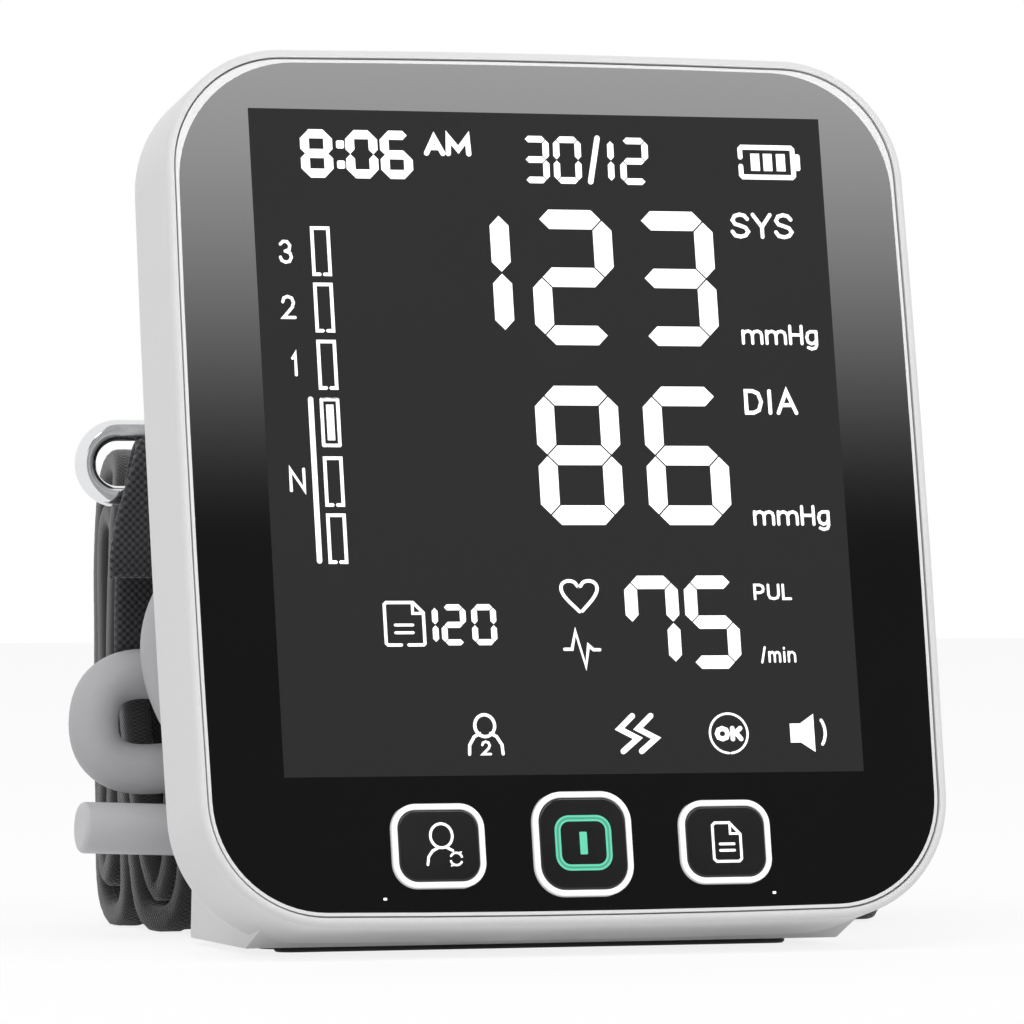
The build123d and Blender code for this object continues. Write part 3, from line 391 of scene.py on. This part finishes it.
def readings():
    """Everything that is shown on the display, in millimetres on the face."""
    out = []
    for char, left in (("8", -38.9), ("0", -31.6), ("6", -26.0)):
        out += figure(char, left, 116.8, 5.2, 7.7, 1.45, 0.02)
    out += [(round_box(-33.1, low, -31.8, low + 1.3, 0.3), None) for low in (121.5, 118.3)]
    out += word("AM", -18.9, 120.6, (3.5, 4.2), 3.4, 0.85, 0.05)
    for char, left, width in (("3", -3.0, 4.5), ("0", 2.2, 4.6), ("1", 8.0, 4.2), ("2", 13.2, 4.7)):
        out += figure(char, left, 116.5, width, 7.6, 1.05, 0.09, 0.02)
    out.append(ribbon([(8.2, 116.9), (9.7, 123.9)], 0.9))
    cell = [(33.4, 119.8), (33.4, 118.4), (33.7, 118.1), (41.9, 118.1), (42.2, 118.4), (42.2, 122.6),
            (41.9, 122.9), (33.7, 122.9), (33.4, 122.6), (33.4, 121.3)]
    out.append(ribbon(cell, 0.8))
    out.append((round_box(42.4, 119.2, 43.4, 121.9, 0.35), None))
    out += [(round_box(x, 119.1, x + 1.5, 121.9, 0.06), None) for x in (35.1, 37.2, 39.4)]
    systolic = (("1", -19.2, 91.3, 13.4), ("2", -2.4, 90.7, 13.5), ("3", 14.4, 90.7, 13.5))
    for char, left, low, width in systolic:
        out += figure(char, left, low, width, 21.6, 3.1, 0.16)
    for char, left in (("8", -3.3), ("6", 14.4)):
        out += figure(char, left, 62.2, 13.6, 22.0, 3.1, 0.16)
    for char, left in (("7", 9.4), ("5", 19.2)):
        out += figure(char, left, 39.5, 8.8, 14.7, 2.1, 0.12)
    out += word("SYS", 30.9, 108.1, (3.4, 3.5, 3.4), 4.2, 0.62, 0.2)
    out += word("mmHg", 31.6, 91.0, (3.6, 3.6, 2.4, 2.1), 3.3, 0.5, 0.35)
    out += word("DIA", 31.3, 79.8, (3.2, 1.2, 3.6), 4.1, 0.62, 0.45)
    out += word("mmHg", 31.5, 62.1, (3.6, 3.6, 2.4, 2.1), 3.3, 0.5, 0.35)
    out += word("PUL", 30.7, 50.3, (1.9, 2.1, 1.7), 2.6, 0.42, 0.35)
    out += word("/min", 31.2, 40.4, (0.9, 2.1, 0.4, 1.4), 2.5, 0.36, 0.35)
    for char, low, width in (("3", 103.1, 2.3), ("2", 94.4, 2.4), ("1", 85.4, 1.6), ("N", 67.3, 2.6)):
        out += word(char, -41.0 - width + (0.25 if char == "1" else 0), low, (width,), 3.8, 0.48, 0)
    return out + boxes() + signs()


def boxes():
    """The column of six level boxes with its upright line: the fourth one is filled."""
    out = []
    for low in (101.5, 92.6, 83.6, 65.3, 56.4):
        top = low + 7.3
        line = [(-36.1, low), (-35.2, low), (-35.2, top), (-37.8, top), (-37.8, low), (-36.9, low)]
        out.append(ribbon(line, 0.55))
    out.append(ribbon(round_box(-37.8, 74.6, -35.2, 81.8, 0.05, 2), 0.55, closed=True))
    out.append((round_box(-37.1, 75.4, -35.9, 81.0, 0.05), None))
    out.append(ribbon([(-39.5, 56.6), (-39.5, 81.8)], 0.85))
    return out


def signs():
    """The heart, pulse wave, memory sheet, user, movement, fit and sound signs."""
    heart = [(1.9, 48.6), (-0.1, 50.6), (-0.85, 51.9), (-0.7, 52.9), (0.2, 53.4), (1.3, 53.2), (2.05, 52.4),
             (2.8, 53.2), (3.9, 53.4), (4.8, 52.9), (4.95, 51.9), (4.2, 50.6), (2.4, 48.7)]
    out = [ribbon(smoothed(heart), 0.55)]
    pulse = [(-0.9, 42.7), (0.3, 42.7), (1.0, 45.5), (2.4, 40.0), (3.0, 43.3), (3.8, 42.6), (4.8, 42.6)]
    out.append(ribbon(pulse, 0.5))
    sheet = [(-26.0, 43.5), (-23.6, 43.5), (-23.4, 43.7), (-23.4, 48.5), (-25.0, 50.1), (-29.3, 50.1),
             (-29.6, 49.8), (-29.6, 43.8), (-29.3, 43.5), (-27.2, 43.5)]
    out += [ribbon(sheet, 0.5), ribbon([(-25.1, 49.9), (-25.1, 48.4), (-23.6, 48.4)], 0.45)]
    out += [ribbon([(-28.0, v), (-25.2, v)], 0.45) for v in (46.6, 45.4)]
    for char, left in (("1", -25.1), ("2", -20.6), ("0", -15.7)):
        out += figure(char, left, 43.4, 4.0, 6.4, 0.95, 0.08)
    out += [ribbon(arc((-14.6, 30.9), (1.6, 1.7), -118, 238, 26), 0.5)]
    out += [ribbon(arc((-14.6, 30.9), (1.6, 1.7), 180, 242, 10), 0.5)]
    out += [ribbon([(-17.3, 26.5), (-17.2, 27.9), (-16.4, 29.2), (-15.5, 29.7)], 0.5)]
    out += [ribbon([(-11.9, 26.5), (-12.0, 27.9), (-12.8, 29.2), (-13.7, 29.7)], 0.5)]
    out += word("2", -15.4, 26.3, (1.7,), 2.3, 0.38, 0)
    for left in (7.2, 10.2):
        out.append(ribbon([(left + 2.2, 32.2), (left, 30.2), (left + 2.9, 28.7), (left + 0.4, 26.7)], 0.9))
    out += [ribbon(arc((25.05, 29.35), 3.1, -86, 266, 40), 0.36)]
    out += word("OK", 22.75, 28.1, (2.5, 2.1), 2.4, 0.75, 0.05)
    horn = [(35.2, 27.8), (36.9, 27.8), (39.2, 26.3), (39.2, 32.3), (36.9, 30.8), (35.2, 30.8)]
    out.append((np.array(horn), None))
    out.append(ribbon(arc((38.2, 29.4), (2.8, 3.2), -36, 36, 10), 0.5))
    return out


def smoothed(points, per_run=5):
    """A Catmull-Rom line through given points: the cubic whose slope is (next - last) / 2.

    It works on any number of columns, so that a route can carry its own left edge."""
    p = np.asarray(points, float)
    p = np.concatenate([2 * p[:1] - p[1:2], p, 2 * p[-1:] - p[-2:-1]])
    t = np.linspace(0, 1, per_run, endpoint=False)[None, :, None]
    a, b, c, d = (p[k:len(p) - 3 + k, None, :] for k in range(4))
    line = 0.5 * (2 * b + (c - a) * t + (2 * a - 5 * b + 4 * c - d) * t**2 + (3 * b - a - 3 * c + d) * t**3)
    return np.concatenate([line.reshape(-1, p.shape[1]), p[-2:-1]])


def fanned(shapes):
    """Outlines without faces are filled from quads that join their two halves."""
    done = []
    for flat, faces in shapes:
        if faces is None:
            n = len(flat)
            k = np.arange(n // 2 - 1)
            faces = np.stack([k, k + 1, n - 2 - k, n - 1 - k], 1)
        done.append((flat, faces))
    return done


def key_signs():
    """The printed signs on the three keys: a user, a start bar in its ring, a sheet."""
    u, v = -23.2, 12.6
    user = [ribbon(arc((u + 0.4, v + 1.3), (1.75, 1.85), 0, 360, 32)[:-1], 0.42, closed=True)]
    shoulder = [(u - 2.0, v - 3.1), (u - 1.8, v - 1.9), (u - 1.1, v - 1.0), (u - 0.3, v - 0.6)]
    user.append(ribbon(shoulder, 0.42))
    user.append(ribbon([(u + 1.2, v - 0.55), (u + 2.1, v - 1.0)], 0.42))
    user += [ribbon(arc((u + 2.6, v - 2.3), 0.95, t, t + 130, 12), 0.34) for t in (20, 200)]
    user += [(np.array([(x, y), (x + 0.5 * s, y + 0.05 * s), (x + 0.1 * s, y - 0.5 * s), (x, y)]), None)
             for x, y, s in ((u + 3.1, v - 1.2, 1), (u + 2.1, v - 3.4, -1))]
    # The key signs are white print with a painted glow.
    plate("user_sign", fanned(user), KEY_SIGN, PRINT_THICK, FIGURE_WHITE_GLOW, "user_button_body")
    u = 23.2
    page = [(u + 0.7, v + 2.7), (u - 1.7, v + 2.7), (u - 2.1, v + 2.3), (u - 2.1, v - 2.9),
            (u - 1.7, v - 3.3), (u + 2.0, v - 3.3), (u + 2.4, v - 2.9), (u + 2.4, v + 0.9),
            (u + 0.7, v + 2.7)]
    sheet = [ribbon(page, 0.42), ribbon([(u + 0.75, v + 2.5), (u + 0.75, v + 1.0), (u + 2.2, v + 1.0)], 0.38)]
    sheet += [ribbon([(u - 1.0, y), (u + 1.3, y)], 0.42) for y in (v - 0.6, v - 1.6)]
    plate("memory_sign", fanned(sheet), KEY_SIGN, PRINT_THICK, FIGURE_WHITE_GLOW,
          "memory_button_body")
    ring = [ribbon(round_box(-4.1, 8.7, 4.1, 16.3, 1.9, 8), 0.95, closed=True)]
    ring.append((round_box(-0.6, 10.7, 0.6, 14.2, 0.15), None))
    # The start sign and its line carry a painted glow.
    plate("start_sign", fanned(ring), KEY_SIGN, PRINT_THICK, MINT, "start_button_body")
    line = [ribbon(round_box(-4.1, 8.7, 4.1, 16.3, 1.9, 8), 0.3, closed=True)]
    plate("start_line", line, KEY_LINE, PRINT_THICK, DEEP_MINT, "start_button_body")


# The display figures and panel dots are white with a painted glow.
plate("display_figures", fanned(readings()), GLASS_FRONT, 0.03, FIGURE_WHITE_GLOW, "monitor")
plate("panel_dots", fanned([(round_box(x - 0.3, 4.2, x + 0.3, 4.6, 0.15), None) for x in (-32.1, 30.8)]),
      GLASS_FRONT, PRINT_THICK, FIGURE_WHITE_GLOW, "monitor")
key_signs()


# The cuff's cloth, its strap and its hose
CLOTH_RIGHT = 78.0
CLOTH_THICK = 3.4
CLOTH_STEPS = 620
CLOTH_LOWEST = 0.0003
CLOTH_SEED = 3
CREASE = 0.28
SWAY = 0.8
SWAY_SEED = CLOTH_SEED + 5
BINDING_WIDTH = 5.0
BINDING_THICK = 4.2
BINDING_SIDES = 28
BINDING_OVERHANG = 0.6
BINDING_LOWEST = 0.0002
STRAP_RIGHT = 62.0
STRAP_THICK = 2.3
HOSE_RADIUS = 0.004


def resampled(line, count):
    """Points at even steps of arc length along a line, found by linear interpolation."""
    length = np.concatenate([[0.0], np.cumsum(np.linalg.norm(np.diff(line[:, :2], axis=0), axis=1))])
    even = np.linspace(0, length[-1], count)
    return np.stack([np.interp(even, length, line[:, k]) for k in range(line.shape[1])], 1), even


def waves(s, x, seed, share):
    """Soft creases: a sum of six crossed sine waves, 9 to 60 mm long, with seeded phases."""
    rng = np.random.default_rng(seed)
    out = np.zeros(np.broadcast(s, x).shape)
    for length in (60, 41, 27, 19, 13, 9):
        turn = rng.uniform(0, pi)
        phase = rng.uniform(0, 2 * pi)
        out += length / 60 * np.sin(2 * pi * (s * cos(turn) + x * sin(turn)) / length + phase)
    return out * share / 2.4


def band(name, route, right, thick, samples, across, seed, crease, body, material, round_end):
    """A strip of cloth carried along a route in the YZ plane, from its left edge to x = right.

    Each section is a flat loop: out along the front at +h, round the edge, back at -h.
    Point = route(s) + n (h + creases), x from the left edge to the right one. Within half
    the thickness of an edge h falls to 0 as a quarter of a circle, and so it does near
    the route's two ends."""
    line, s = resampled(smoothed(route, 12), samples)
    y, z, left = line[:, 0], line[:, 1], line[:, 2]
    ty, tz = np.gradient(y, s), np.gradient(z, s)
    size = np.hypot(ty, tz)
    ny, nz = -tz / size, ty / size
    half = thick / 2
    curve = np.linspace(0, pi / 2, 5)
    edge = half * (1 - np.sin(curve))[::-1]
    inner = np.linspace(0, 1, across + 2)[1:-1]
    width = (right - left)[:, None]
    x_run = np.concatenate([
        np.broadcast_to(edge, (samples, 5)), half + inner * (width - 2 * half),
        width - edge[::-1]], 1) + left[:, None]
    h_run = np.concatenate([half * np.cos(curve)[::-1], np.full(across, half), half * np.cos(curve)])
    h_run[0], h_run[-1] = 0.0, 0.0
    end = np.clip(np.minimum(s, s[-1] - s) / (thick * round_end), 0, 1)
    h = h_run[None, :] * np.sqrt(np.clip(1 - (1 - end) ** 2, 0.0004, 1))[:, None]
    lift = waves(s[:, None], x_run, seed, crease)
    x = np.concatenate([x_run, x_run[:, -2:0:-1]], 1)
    off = np.concatenate([h, -h[:, -2:0:-1]], 1) + np.concatenate([lift, lift[:, -2:0:-1]], 1)
    sway = waves(s, 0.0, seed + 5, crease * SWAY)[:, None]
    verts = np.stack([x + sway, y[:, None] + ny[:, None] * off, z[:, None] + nz[:, None] * off], 2) * MM
    columns = x.shape[1]
    faces = grid_faces(samples, columns, closed_columns=True)
    uv = np.stack([np.broadcast_to(s[:, None], x.shape), x], 2).reshape(-1, 2) * MM
    flat = verts.reshape(-1, 3)
    flat[:, 2] = np.maximum(flat[:, 2], CLOTH_LOWEST)
    piece = new_piece(name, flat, faces, uv)
    close_ends(piece, samples, columns)
    turn_outwards(piece)
    piece.data.materials.append(material)
    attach(piece, body)
    return piece, s[-1]


def close_ends(piece, rows, columns):
    """Closes the first and last section, pairing the points of each section's two halves."""
    build = bmesh.new()
    build.from_mesh(piece.data)
    build.verts.ensure_lookup_table()
    layer = build.loops.layers.uv.active
    half = columns // 2
    for base in (0, (rows - 1) * columns):
        for k in range(half):
            across, back = (columns - k - 1) % columns, (columns - k) % columns
            ring = list(dict.fromkeys([base + k, base + k + 1, base + across, base + back]))
            if len(ring) < 3:
                continue
            corners = [build.verts[i] for i in ring]
            if build.faces.get(corners):
                continue
            face = build.faces.new(corners)
            face.smooth = True
            if layer:
                for loop in face.loops:
                    near = loop.vert.link_loops[0]
                    loop[layer].uv = near[layer].uv
    build.to_mesh(piece.data)
    build.free()


def turn_outwards(piece):
    """Makes every face of a closed piece point outwards."""
    build = bmesh.new()
    build.from_mesh(piece.data)
    bmesh.ops.remove_doubles(build, verts=build.verts, dist=1e-7)
    bmesh.ops.recalc_face_normals(build, faces=build.faces)
    build.to_mesh(piece.data)
    build.free()


# The folded cuff: y, z and the cloth's left edge, from the inner end of the front fold
CUFF_ROUTE = [
    (44.9, 64, -44), (44.9, 40, -44), (45.0, 16, -44.2), (45.6, 9.6, -44.6), (47.4, 7.2, -45.2),
    (49.2, 9.6, -46.2), (49.7, 16, -47.4), (49.8, 40, -50.4), (49.6, 66, -50), (48.6, 72.6, -48),
    (45.6, 75.9, -45), (42.3, 73.4, -43), (41.0, 66, -42.6), (40.9, 40, -42.4), (41.0, 14, -42.6),
    (41.9, 6.2, -43.2), (44.0, 3.0, -44.2), (47.4, 2.1, -45.4), (50.8, 3.0, -46.4), (52.9, 6.2, -46.9),
    (53.8, 14, -47.6), (54.1, 40, -51.0), (54.2, 62, -51), (55.4, 70.6, -50), (58.6, 75.0, -49),
    (64.5, 76.4, -48), (71.0, 75.0, -47.5), (75.4, 70.4, -47), (77.0, 60, -47), (77.2, 36, -47),
    (77.0, 15, -47), (75.6, 6.4, -47), (72.0, 3.0, -47), (67.6, 2.1, -47), (63.4, 3.2, -47),
    (60.4, 7.0, -47.2), (59.4, 15, -47.6), (59.3, 40, -48.4), (59.7, 58, -48.6), (61.2, 64.6, -48.6),
    (64.8, 67.6, -48.4), (68.8, 66.6, -48.2), (71.2, 61.6, -48), (71.8, 50, -48), (71.8, 18, -48),
    (71.0, 11.6, -48), (68.4, 8.8, -48), (65.8, 11.6, -48), (65.2, 18, -48), (65.2, 52, -48),
]
# The strap round the ring's lower bar: y, z and its left edge, from the tail's end
STRAP_ROUTE = [
    (30.7, 57.6, -57.6), (30.1, 61, -57.9), (29.7, 66, -57.2), (29.5, 71, -55.8), (29.9, 75.4, -54.4),
    (31.4, 78.4, -53.2), (33.3, 79.2, -52.7), (35.3, 78.0, -52.8), (36.4, 74.6, -53.4), (36.5, 69, -54.2),
    (36.8, 63, -54.8), (37.5, 57, -55.0), (37.8, 50, -55.0), (37.8, 45.5, -55.0),
]
# The hose from the grommet to the plug, in millimetres
HOSE_ROUTE = [
    (37.5, 30.5, 34.5), (22.0, 28.5, 35.5), (2.0, 24.0, 44.0), (-20.0, 21.5, 57.0), (-43.0, 22.0, 63.0),
    (-52.5, 24.0, 48.0), (-45.0, 24.5, 30.0), (-26.0, 24.5, 20.0), (4.0, 24.0, 17.0), (32.0, 24.5, 19.5),
    (54.0, 26.0, 24.0), (66.0, 29.5, 36.0), (54.0, 33.0, 47.5), (30.0, 34.5, 46.0), (2.0, 34.5, 45.0),
    (-22.0, 34.5, 43.5), (-42.0, 34.0, 42.0), (-59.3, 34.0, 42.5), (-59.6, 34.0, 26.5), (-40.0, 34.0, 27.5),
    (-14.0, 34.0, 27.5), (14.0, 33.5, 28.5), (36.0, 33.0, 26.5), (50.0, 32.5, 17.5), (43.0, 32.0, 6.0),
    (22.0, 31.5, 4.3), (-4.0, 31.5, 5.0), (-24.0, 31.0, 9.0), (-37.5, 30.5, 17.0), (-45.5, 30.5, 17.3),
]


def make_cuff():
    """The folded cuff cloth with bound edges, and the strap in the ring."""
    cuff, length = band(
        "cuff_cloth", CUFF_ROUTE, CLOTH_RIGHT, CLOTH_THICK, CLOTH_STEPS, 60, CLOTH_SEED, CREASE,
        "cuff", CLOTH, 0.6)
    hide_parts("cuff_band")
    left_edge, right_edge = np.array(CUFF_ROUTE), np.array(CUFF_ROUTE)
    left_edge[:, 2] -= BINDING_OVERHANG
    right_edge[:, 2] = CLOTH_RIGHT + BINDING_OVERHANG - BINDING_WIDTH
    edge_tape("binding_left", left_edge)
    edge_tape("binding_right", right_edge)
    strap, run = band(
        "strap_webbing", STRAP_ROUTE, STRAP_RIGHT, STRAP_THICK, 260, 90, 11, 0.12,
        "cuff", STRAP_CLOTH, 0.9)
    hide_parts("ring_strap")


def edge_tape(name, route):
    """The woven tape that binds an edge: a flat oval section carried along the cloth's route.

    Section: x = w |cos t|^0.5, offset = h |sin t|^0.6, each with the sign of its cosine or
    sine, swollen by 5 % every 2.2 mm, and lifted by the cloth's own creases."""
    line, s = resampled(smoothed(route, 12), CLOTH_STEPS)
    y, z, left = line[:, 0], line[:, 1], line[:, 2]
    ty, tz = np.gradient(y, s), np.gradient(z, s)
    size = np.hypot(ty, tz)
    ny, nz = -tz / size, ty / size
    turn = np.linspace(0, 2 * pi, BINDING_SIDES, endpoint=False)
    cx = BINDING_WIDTH / 2 * np.sign(np.cos(turn)) * np.abs(np.cos(turn)) ** 0.5
    ch = BINDING_THICK / 2 * np.sign(np.sin(turn)) * np.abs(np.sin(turn)) ** 0.6
    end = np.clip(np.minimum(s, s[-1] - s) / 2.0, 0.02, 1)[:, None]
    sway = waves(s, 0.0, SWAY_SEED, CREASE * SWAY)[:, None]
    pulse = 1 + 0.05 * np.sin(s * 2 * pi / 2.2)[:, None]
    x = left[:, None] + BINDING_WIDTH / 2 + cx[None, :] + sway
    off = ch[None, :] * np.sqrt(end) * pulse + waves(s[:, None], x, CLOTH_SEED, CREASE)
    verts = np.stack([x, y[:, None] + ny[:, None] * off, z[:, None] + nz[:, None] * off], 2) * MM
    verts = verts.reshape(-1, 3)
    verts[:, 2] = np.maximum(verts[:, 2], BINDING_LOWEST)
    faces = grid_faces(CLOTH_STEPS, BINDING_SIDES, closed_columns=True)
    uv = np.stack([np.broadcast_to(s[:, None], x.shape), np.broadcast_to(turn * 2.0, x.shape)], 2)
    tape = new_piece(name, verts, faces, uv.reshape(-1, 2) * MM)
    close_ends(tape, CLOTH_STEPS, BINDING_SIDES)
    turn_outwards(tape)
    tape.data.materials.append(PIPING)
    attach(tape, "cuff")


def make_hose():
    """The free hose: one NURBS line through its route, 8 mm thick, ending in the plug."""
    curve = bpy.data.curves.new("hose_line", "CURVE")
    curve.dimensions = "3D"
    spline = curve.splines.new("NURBS")
    spline.points.add(len(HOSE_ROUTE) - 1)
    for point, (x, y, z) in zip(spline.points, HOSE_ROUTE):
        point.co = (x * MM, y * MM, z * MM, 1.0)
    spline.order_u = 3
    spline.use_endpoint_u = True
    spline.resolution_u = 14
    curve.bevel_depth = HOSE_RADIUS
    curve.bevel_resolution = 7
    hose = bpy.data.objects.new("grey_hose_line", curve)
    bpy.context.scene.collection.objects.link(hose)
    curve.materials.append(HOSE_GREY)
    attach(hose, "cuff")
    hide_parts("air_hose")


make_cuff()
make_hose()


# Finishes of the carried-over solids

def dress(material, *names):
    """Gives solids of the model one finish each, in their only material slot."""
    for name in names:
        mesh = NODES[name].data
        mesh.materials.clear()
        mesh.materials.append(material)


BOARD_GREEN = moulded("circuit board green", (0.02, 0.13, 0.06, 1.0), 0.4, 0.15, 700.0, 0.00004)
CHIP_BLACK = moulded("chip black", grey(0.03), 0.6, 0.1, 900.0, 0.00003)
LCD_GLASS = moulded("liquid crystal glass", grey(0.05), 0.1, 0.03, 200.0, 0.000002)
GUIDE_MILKY = moulded("milky light guide", grey(0.75), 0.3, 0.03, 500.0, 0.00001)
FRAME_GREY = moulded("inner frame grey", grey(0.35), 0.5, 0.05, 900.0, 0.00003)
CELL_SLEEVE = ringed("cell sleeve", (0.10, 0.22, 0.40, 1.0), (0.62, 0.62, 0.64, 1.0), 0.050, 0.0505)
SPRING = brushed("contact steel", (0.6, 0.6, 0.58, 1.0), 0.25, 0.00001)
MOTOR = brushed("motor can", (0.55, 0.56, 0.57, 1.0), 0.3, 0.00001)
PUMP_HEAD = moulded("pump head", grey(0.12), 0.5, 0.08, 900.0, 0.00003)
TUBE_MILKY = moulded("silicone tube", grey(0.7), 0.35, 0.03, 900.0, 0.00002)
JACK_PALE = moulded("jack socket", grey(0.62), 0.35, 0.02, 1200.0, 0.00001)
HOOK_BLACK = moulded("hook tape", grey(0.02), 0.85, 0.2, 1600.0, 0.0006, 0.2)
FILM = moulded("bladder film", (0.35, 0.34, 0.3, 1.0), 0.4, 0.05, 300.0, 0.00005)
DOOR_WHITE = moulded("door white", grey(0.78), 0.45, 0.01, 1400.0, 0.000015, 0.45)

dress(WHITE, "front_case", "rear_case")
dress(DOOR_WHITE, "battery_door")
dress(RIM_WHITE, "trim_ring")
dress(PANEL_BLACK, "front_panel")
dress(WINDOW_DARK, "display_window")
dress(KEY_BLACK, "user_button", "start_button", "memory_button")
# The key borders carry a painted glow.
dress(KEY_WHITE_GLOW, "user_button_rim", "start_button_rim", "memory_button_rim")
dress(LCD_GLASS, "lcd_glass")
dress(GUIDE_MILKY, "backlight")
dress(FRAME_GREY, "lcd_frame", "exhaust_valve", "air_manifold")
dress(BOARD_GREEN, "main_board")
dress(CHIP_BLACK, "board_chips", "pressure_sensor", "speaker", "tact_switches")
dress(CELL_SLEEVE, "batteries")
dress(SPRING, "battery_contacts", "case_screws")
dress(MOTOR, "pump_motor")
dress(PUMP_HEAD, "air_pump")
dress(RUBBER, "pump_cushion", "rubber_feet", "plug_seal")
dress(TUBE_MILKY, "pump_tube", "valve_tube", "jack_tube", "sensor_tube")
dress(JACK_PALE, "air_jack")
dress(HOOK_BLACK, "hook_patch")
dress(FILM, "bladder")
dress(STEEL, "d_ring")
dress(HOSE_GREY, "hose_grommet")
dress(PLUG_PALE, "air_plug")


# Floor, light and camera

def either(tree, *sockets):
    """The larger of several numbers: a chain of maximum nodes."""
    last = sockets[0]
    for socket in sockets[1:]:
        node = tree.nodes.new("ShaderNodeMath")
        node.operation = "MAXIMUM"
        tree.links.new(last, node.inputs[0])
        tree.links.new(socket, node.inputs[1])
        last = node.outputs[0]
    return last


def floor_material():
    """White as seen by the camera or in a reflection, with the object's shadow kept.

    Seen share 0.78: that much of what the camera sees is plain light, the rest matt floor."""
    material = bpy.data.materials.new("white floor")
    material.use_nodes = True
    tree = material.node_tree
    tree.nodes.clear()
    out = tree.nodes.new("ShaderNodeOutputMaterial")
    path = tree.nodes.new("ShaderNodeLightPath").outputs
    seen = either(tree, path["Is Camera Ray"], path["Is Glossy Ray"], path["Is Transmission Ray"])
    share = tree.nodes.new("ShaderNodeMath")
    share.operation = "MULTIPLY"
    share.inputs[1].default_value = 0.78
    tree.links.new(seen, share.inputs[0])
    matt = tree.nodes.new("ShaderNodeBsdfDiffuse")
    matt.inputs["Color"].default_value = grey(0.85)
    glow = tree.nodes.new("ShaderNodeEmission")
    glow.inputs["Color"].default_value = grey(1.0)
    glow.inputs["Strength"].default_value = 1.06
    mix = tree.nodes.new("ShaderNodeMixShader")
    tree.links.new(share.outputs[0], mix.inputs[0])
    tree.links.new(matt.outputs[0], mix.inputs[1])
    tree.links.new(glow.outputs[0], mix.inputs[2])
    tree.links.new(mix.outputs[0], out.inputs["Surface"])
    return material


def make_world():
    """A plain white room: strength 1 where it is seen, and a softer share as light."""
    world = bpy.data.worlds.new("plain room")
    bpy.context.scene.world = world
    world.use_nodes = True
    tree = world.node_tree
    tree.nodes.clear()
    out = tree.nodes.new("ShaderNodeOutputWorld")
    path = tree.nodes.new("ShaderNodeLightPath").outputs
    seen = either(tree, path["Is Camera Ray"], path["Is Transmission Ray"], path["Is Glossy Ray"])
    mix = tree.nodes.new("ShaderNodeMixShader")
    tree.links.new(seen, mix.inputs[0])
    for place, strength in ((1, 0.62), (2, 1.0)):
        light = tree.nodes.new("ShaderNodeBackground")
        light.inputs["Color"].default_value = grey(1.0)
        light.inputs["Strength"].default_value = strength
        tree.links.new(light.outputs[0], mix.inputs[place])
    tree.links.new(mix.outputs[0], out.inputs["Surface"])


def lamp(name, place, target, size, power):
    """A square soft lamp that looks at a point."""
    light = bpy.data.lights.new(name, "AREA")
    light.shape = "SQUARE"
    light.size = size
    light.energy = power
    piece = bpy.data.objects.new(name, light)
    bpy.context.scene.collection.objects.link(piece)
    piece.location = place
    piece.rotation_mode = "QUATERNION"
    piece.rotation_quaternion = (Vector(target) - Vector(place)).to_track_quat("-Z", "Y")
    piece.visible_glossy = False


def make_floor():
    """A wide flat floor, just under the object."""
    x = np.array([-3.0, 3.0, 3.0, -3.0])
    y = np.array([-3.0, -3.0, 3.0, 3.0])
    verts = np.stack([x, y, np.full(4, -0.00002)], 1)
    floor = new_piece("floor", verts, [[0, 1, 2, 3]], smooth=False)
    floor.data.materials.append(floor_material())


def make_card():
    """A tall card in front of the object that only reflections see: dark low, bright high.

    Its light is low + (high - low) (3 t^2 - 2 t^3), with t from 0 to 1 between two heights."""
    material = bpy.data.materials.new("reflection card")
    material.use_nodes = True
    tree = material.node_tree
    tree.nodes.clear()
    out = tree.nodes.new("ShaderNodeOutputMaterial")
    place = tree.nodes.new("ShaderNodeTexCoord")
    split = tree.nodes.new("ShaderNodeSeparateXYZ")
    tree.links.new(place.outputs["Object"], split.inputs[0])
    rise = tree.nodes.new("ShaderNodeMapRange")
    rise.interpolation_type = "SMOOTHSTEP"
    for key, value in (("From Min", 0.655), ("From Max", 0.90), ("To Min", 0.10), ("To Max", 8.6)):
        rise.inputs[key].default_value = value
    tree.links.new(split.outputs["Z"], rise.inputs["Value"])
    glow = tree.nodes.new("ShaderNodeEmission")
    tree.links.new(rise.outputs["Result"], glow.inputs["Strength"])
    tree.links.new(glow.outputs[0], out.inputs["Surface"])
    x = np.array([-0.3, 1.3, 1.3, -0.3])
    z = np.array([0.30, 0.30, 1.05, 1.05])
    verts = np.stack([x, np.full(4, -1.5), z], 1)
    card = new_piece("reflection_card", verts, [[0, 1, 2, 3]], smooth=False)
    card.data.materials.append(material)
    card.visible_camera = False
    card.visible_diffuse = False
    card.visible_shadow = False
    card.visible_transmission = False


def make_camera():
    """A long lens low on the left, as the photograph's lines give it."""
    turn, rise, far = radians(-18.33), radians(-0.19), 1.099
    target = Vector((-0.0003, 0.0, 0.0681))
    back = Vector((sin(turn) * cos(rise), -cos(turn) * cos(rise), sin(rise)))
    data = bpy.data.cameras.new("camera")
    data.sensor_width = 36.0
    data.lens = 244.9
    data.clip_start = 0.05
    camera = bpy.data.objects.new("camera", data)
    bpy.context.scene.collection.objects.link(camera)
    camera.location = target + back * far
    camera.rotation_mode = "QUATERNION"
    camera.rotation_quaternion = (-back).to_track_quat("-Z", "Y")
    bpy.context.scene.camera = camera


make_world()
make_floor()
make_card()
lamp("lamp_top", (-0.5, -0.7, 1.5), (0, 0, 0.05), 1.2, 9.0)
lamp("lamp_right", (1.4, -0.9, 0.7), (0, 0, 0.06), 1.0, 4.0)
make_camera()
bpy.context.scene.view_settings.view_transform = "Standard"
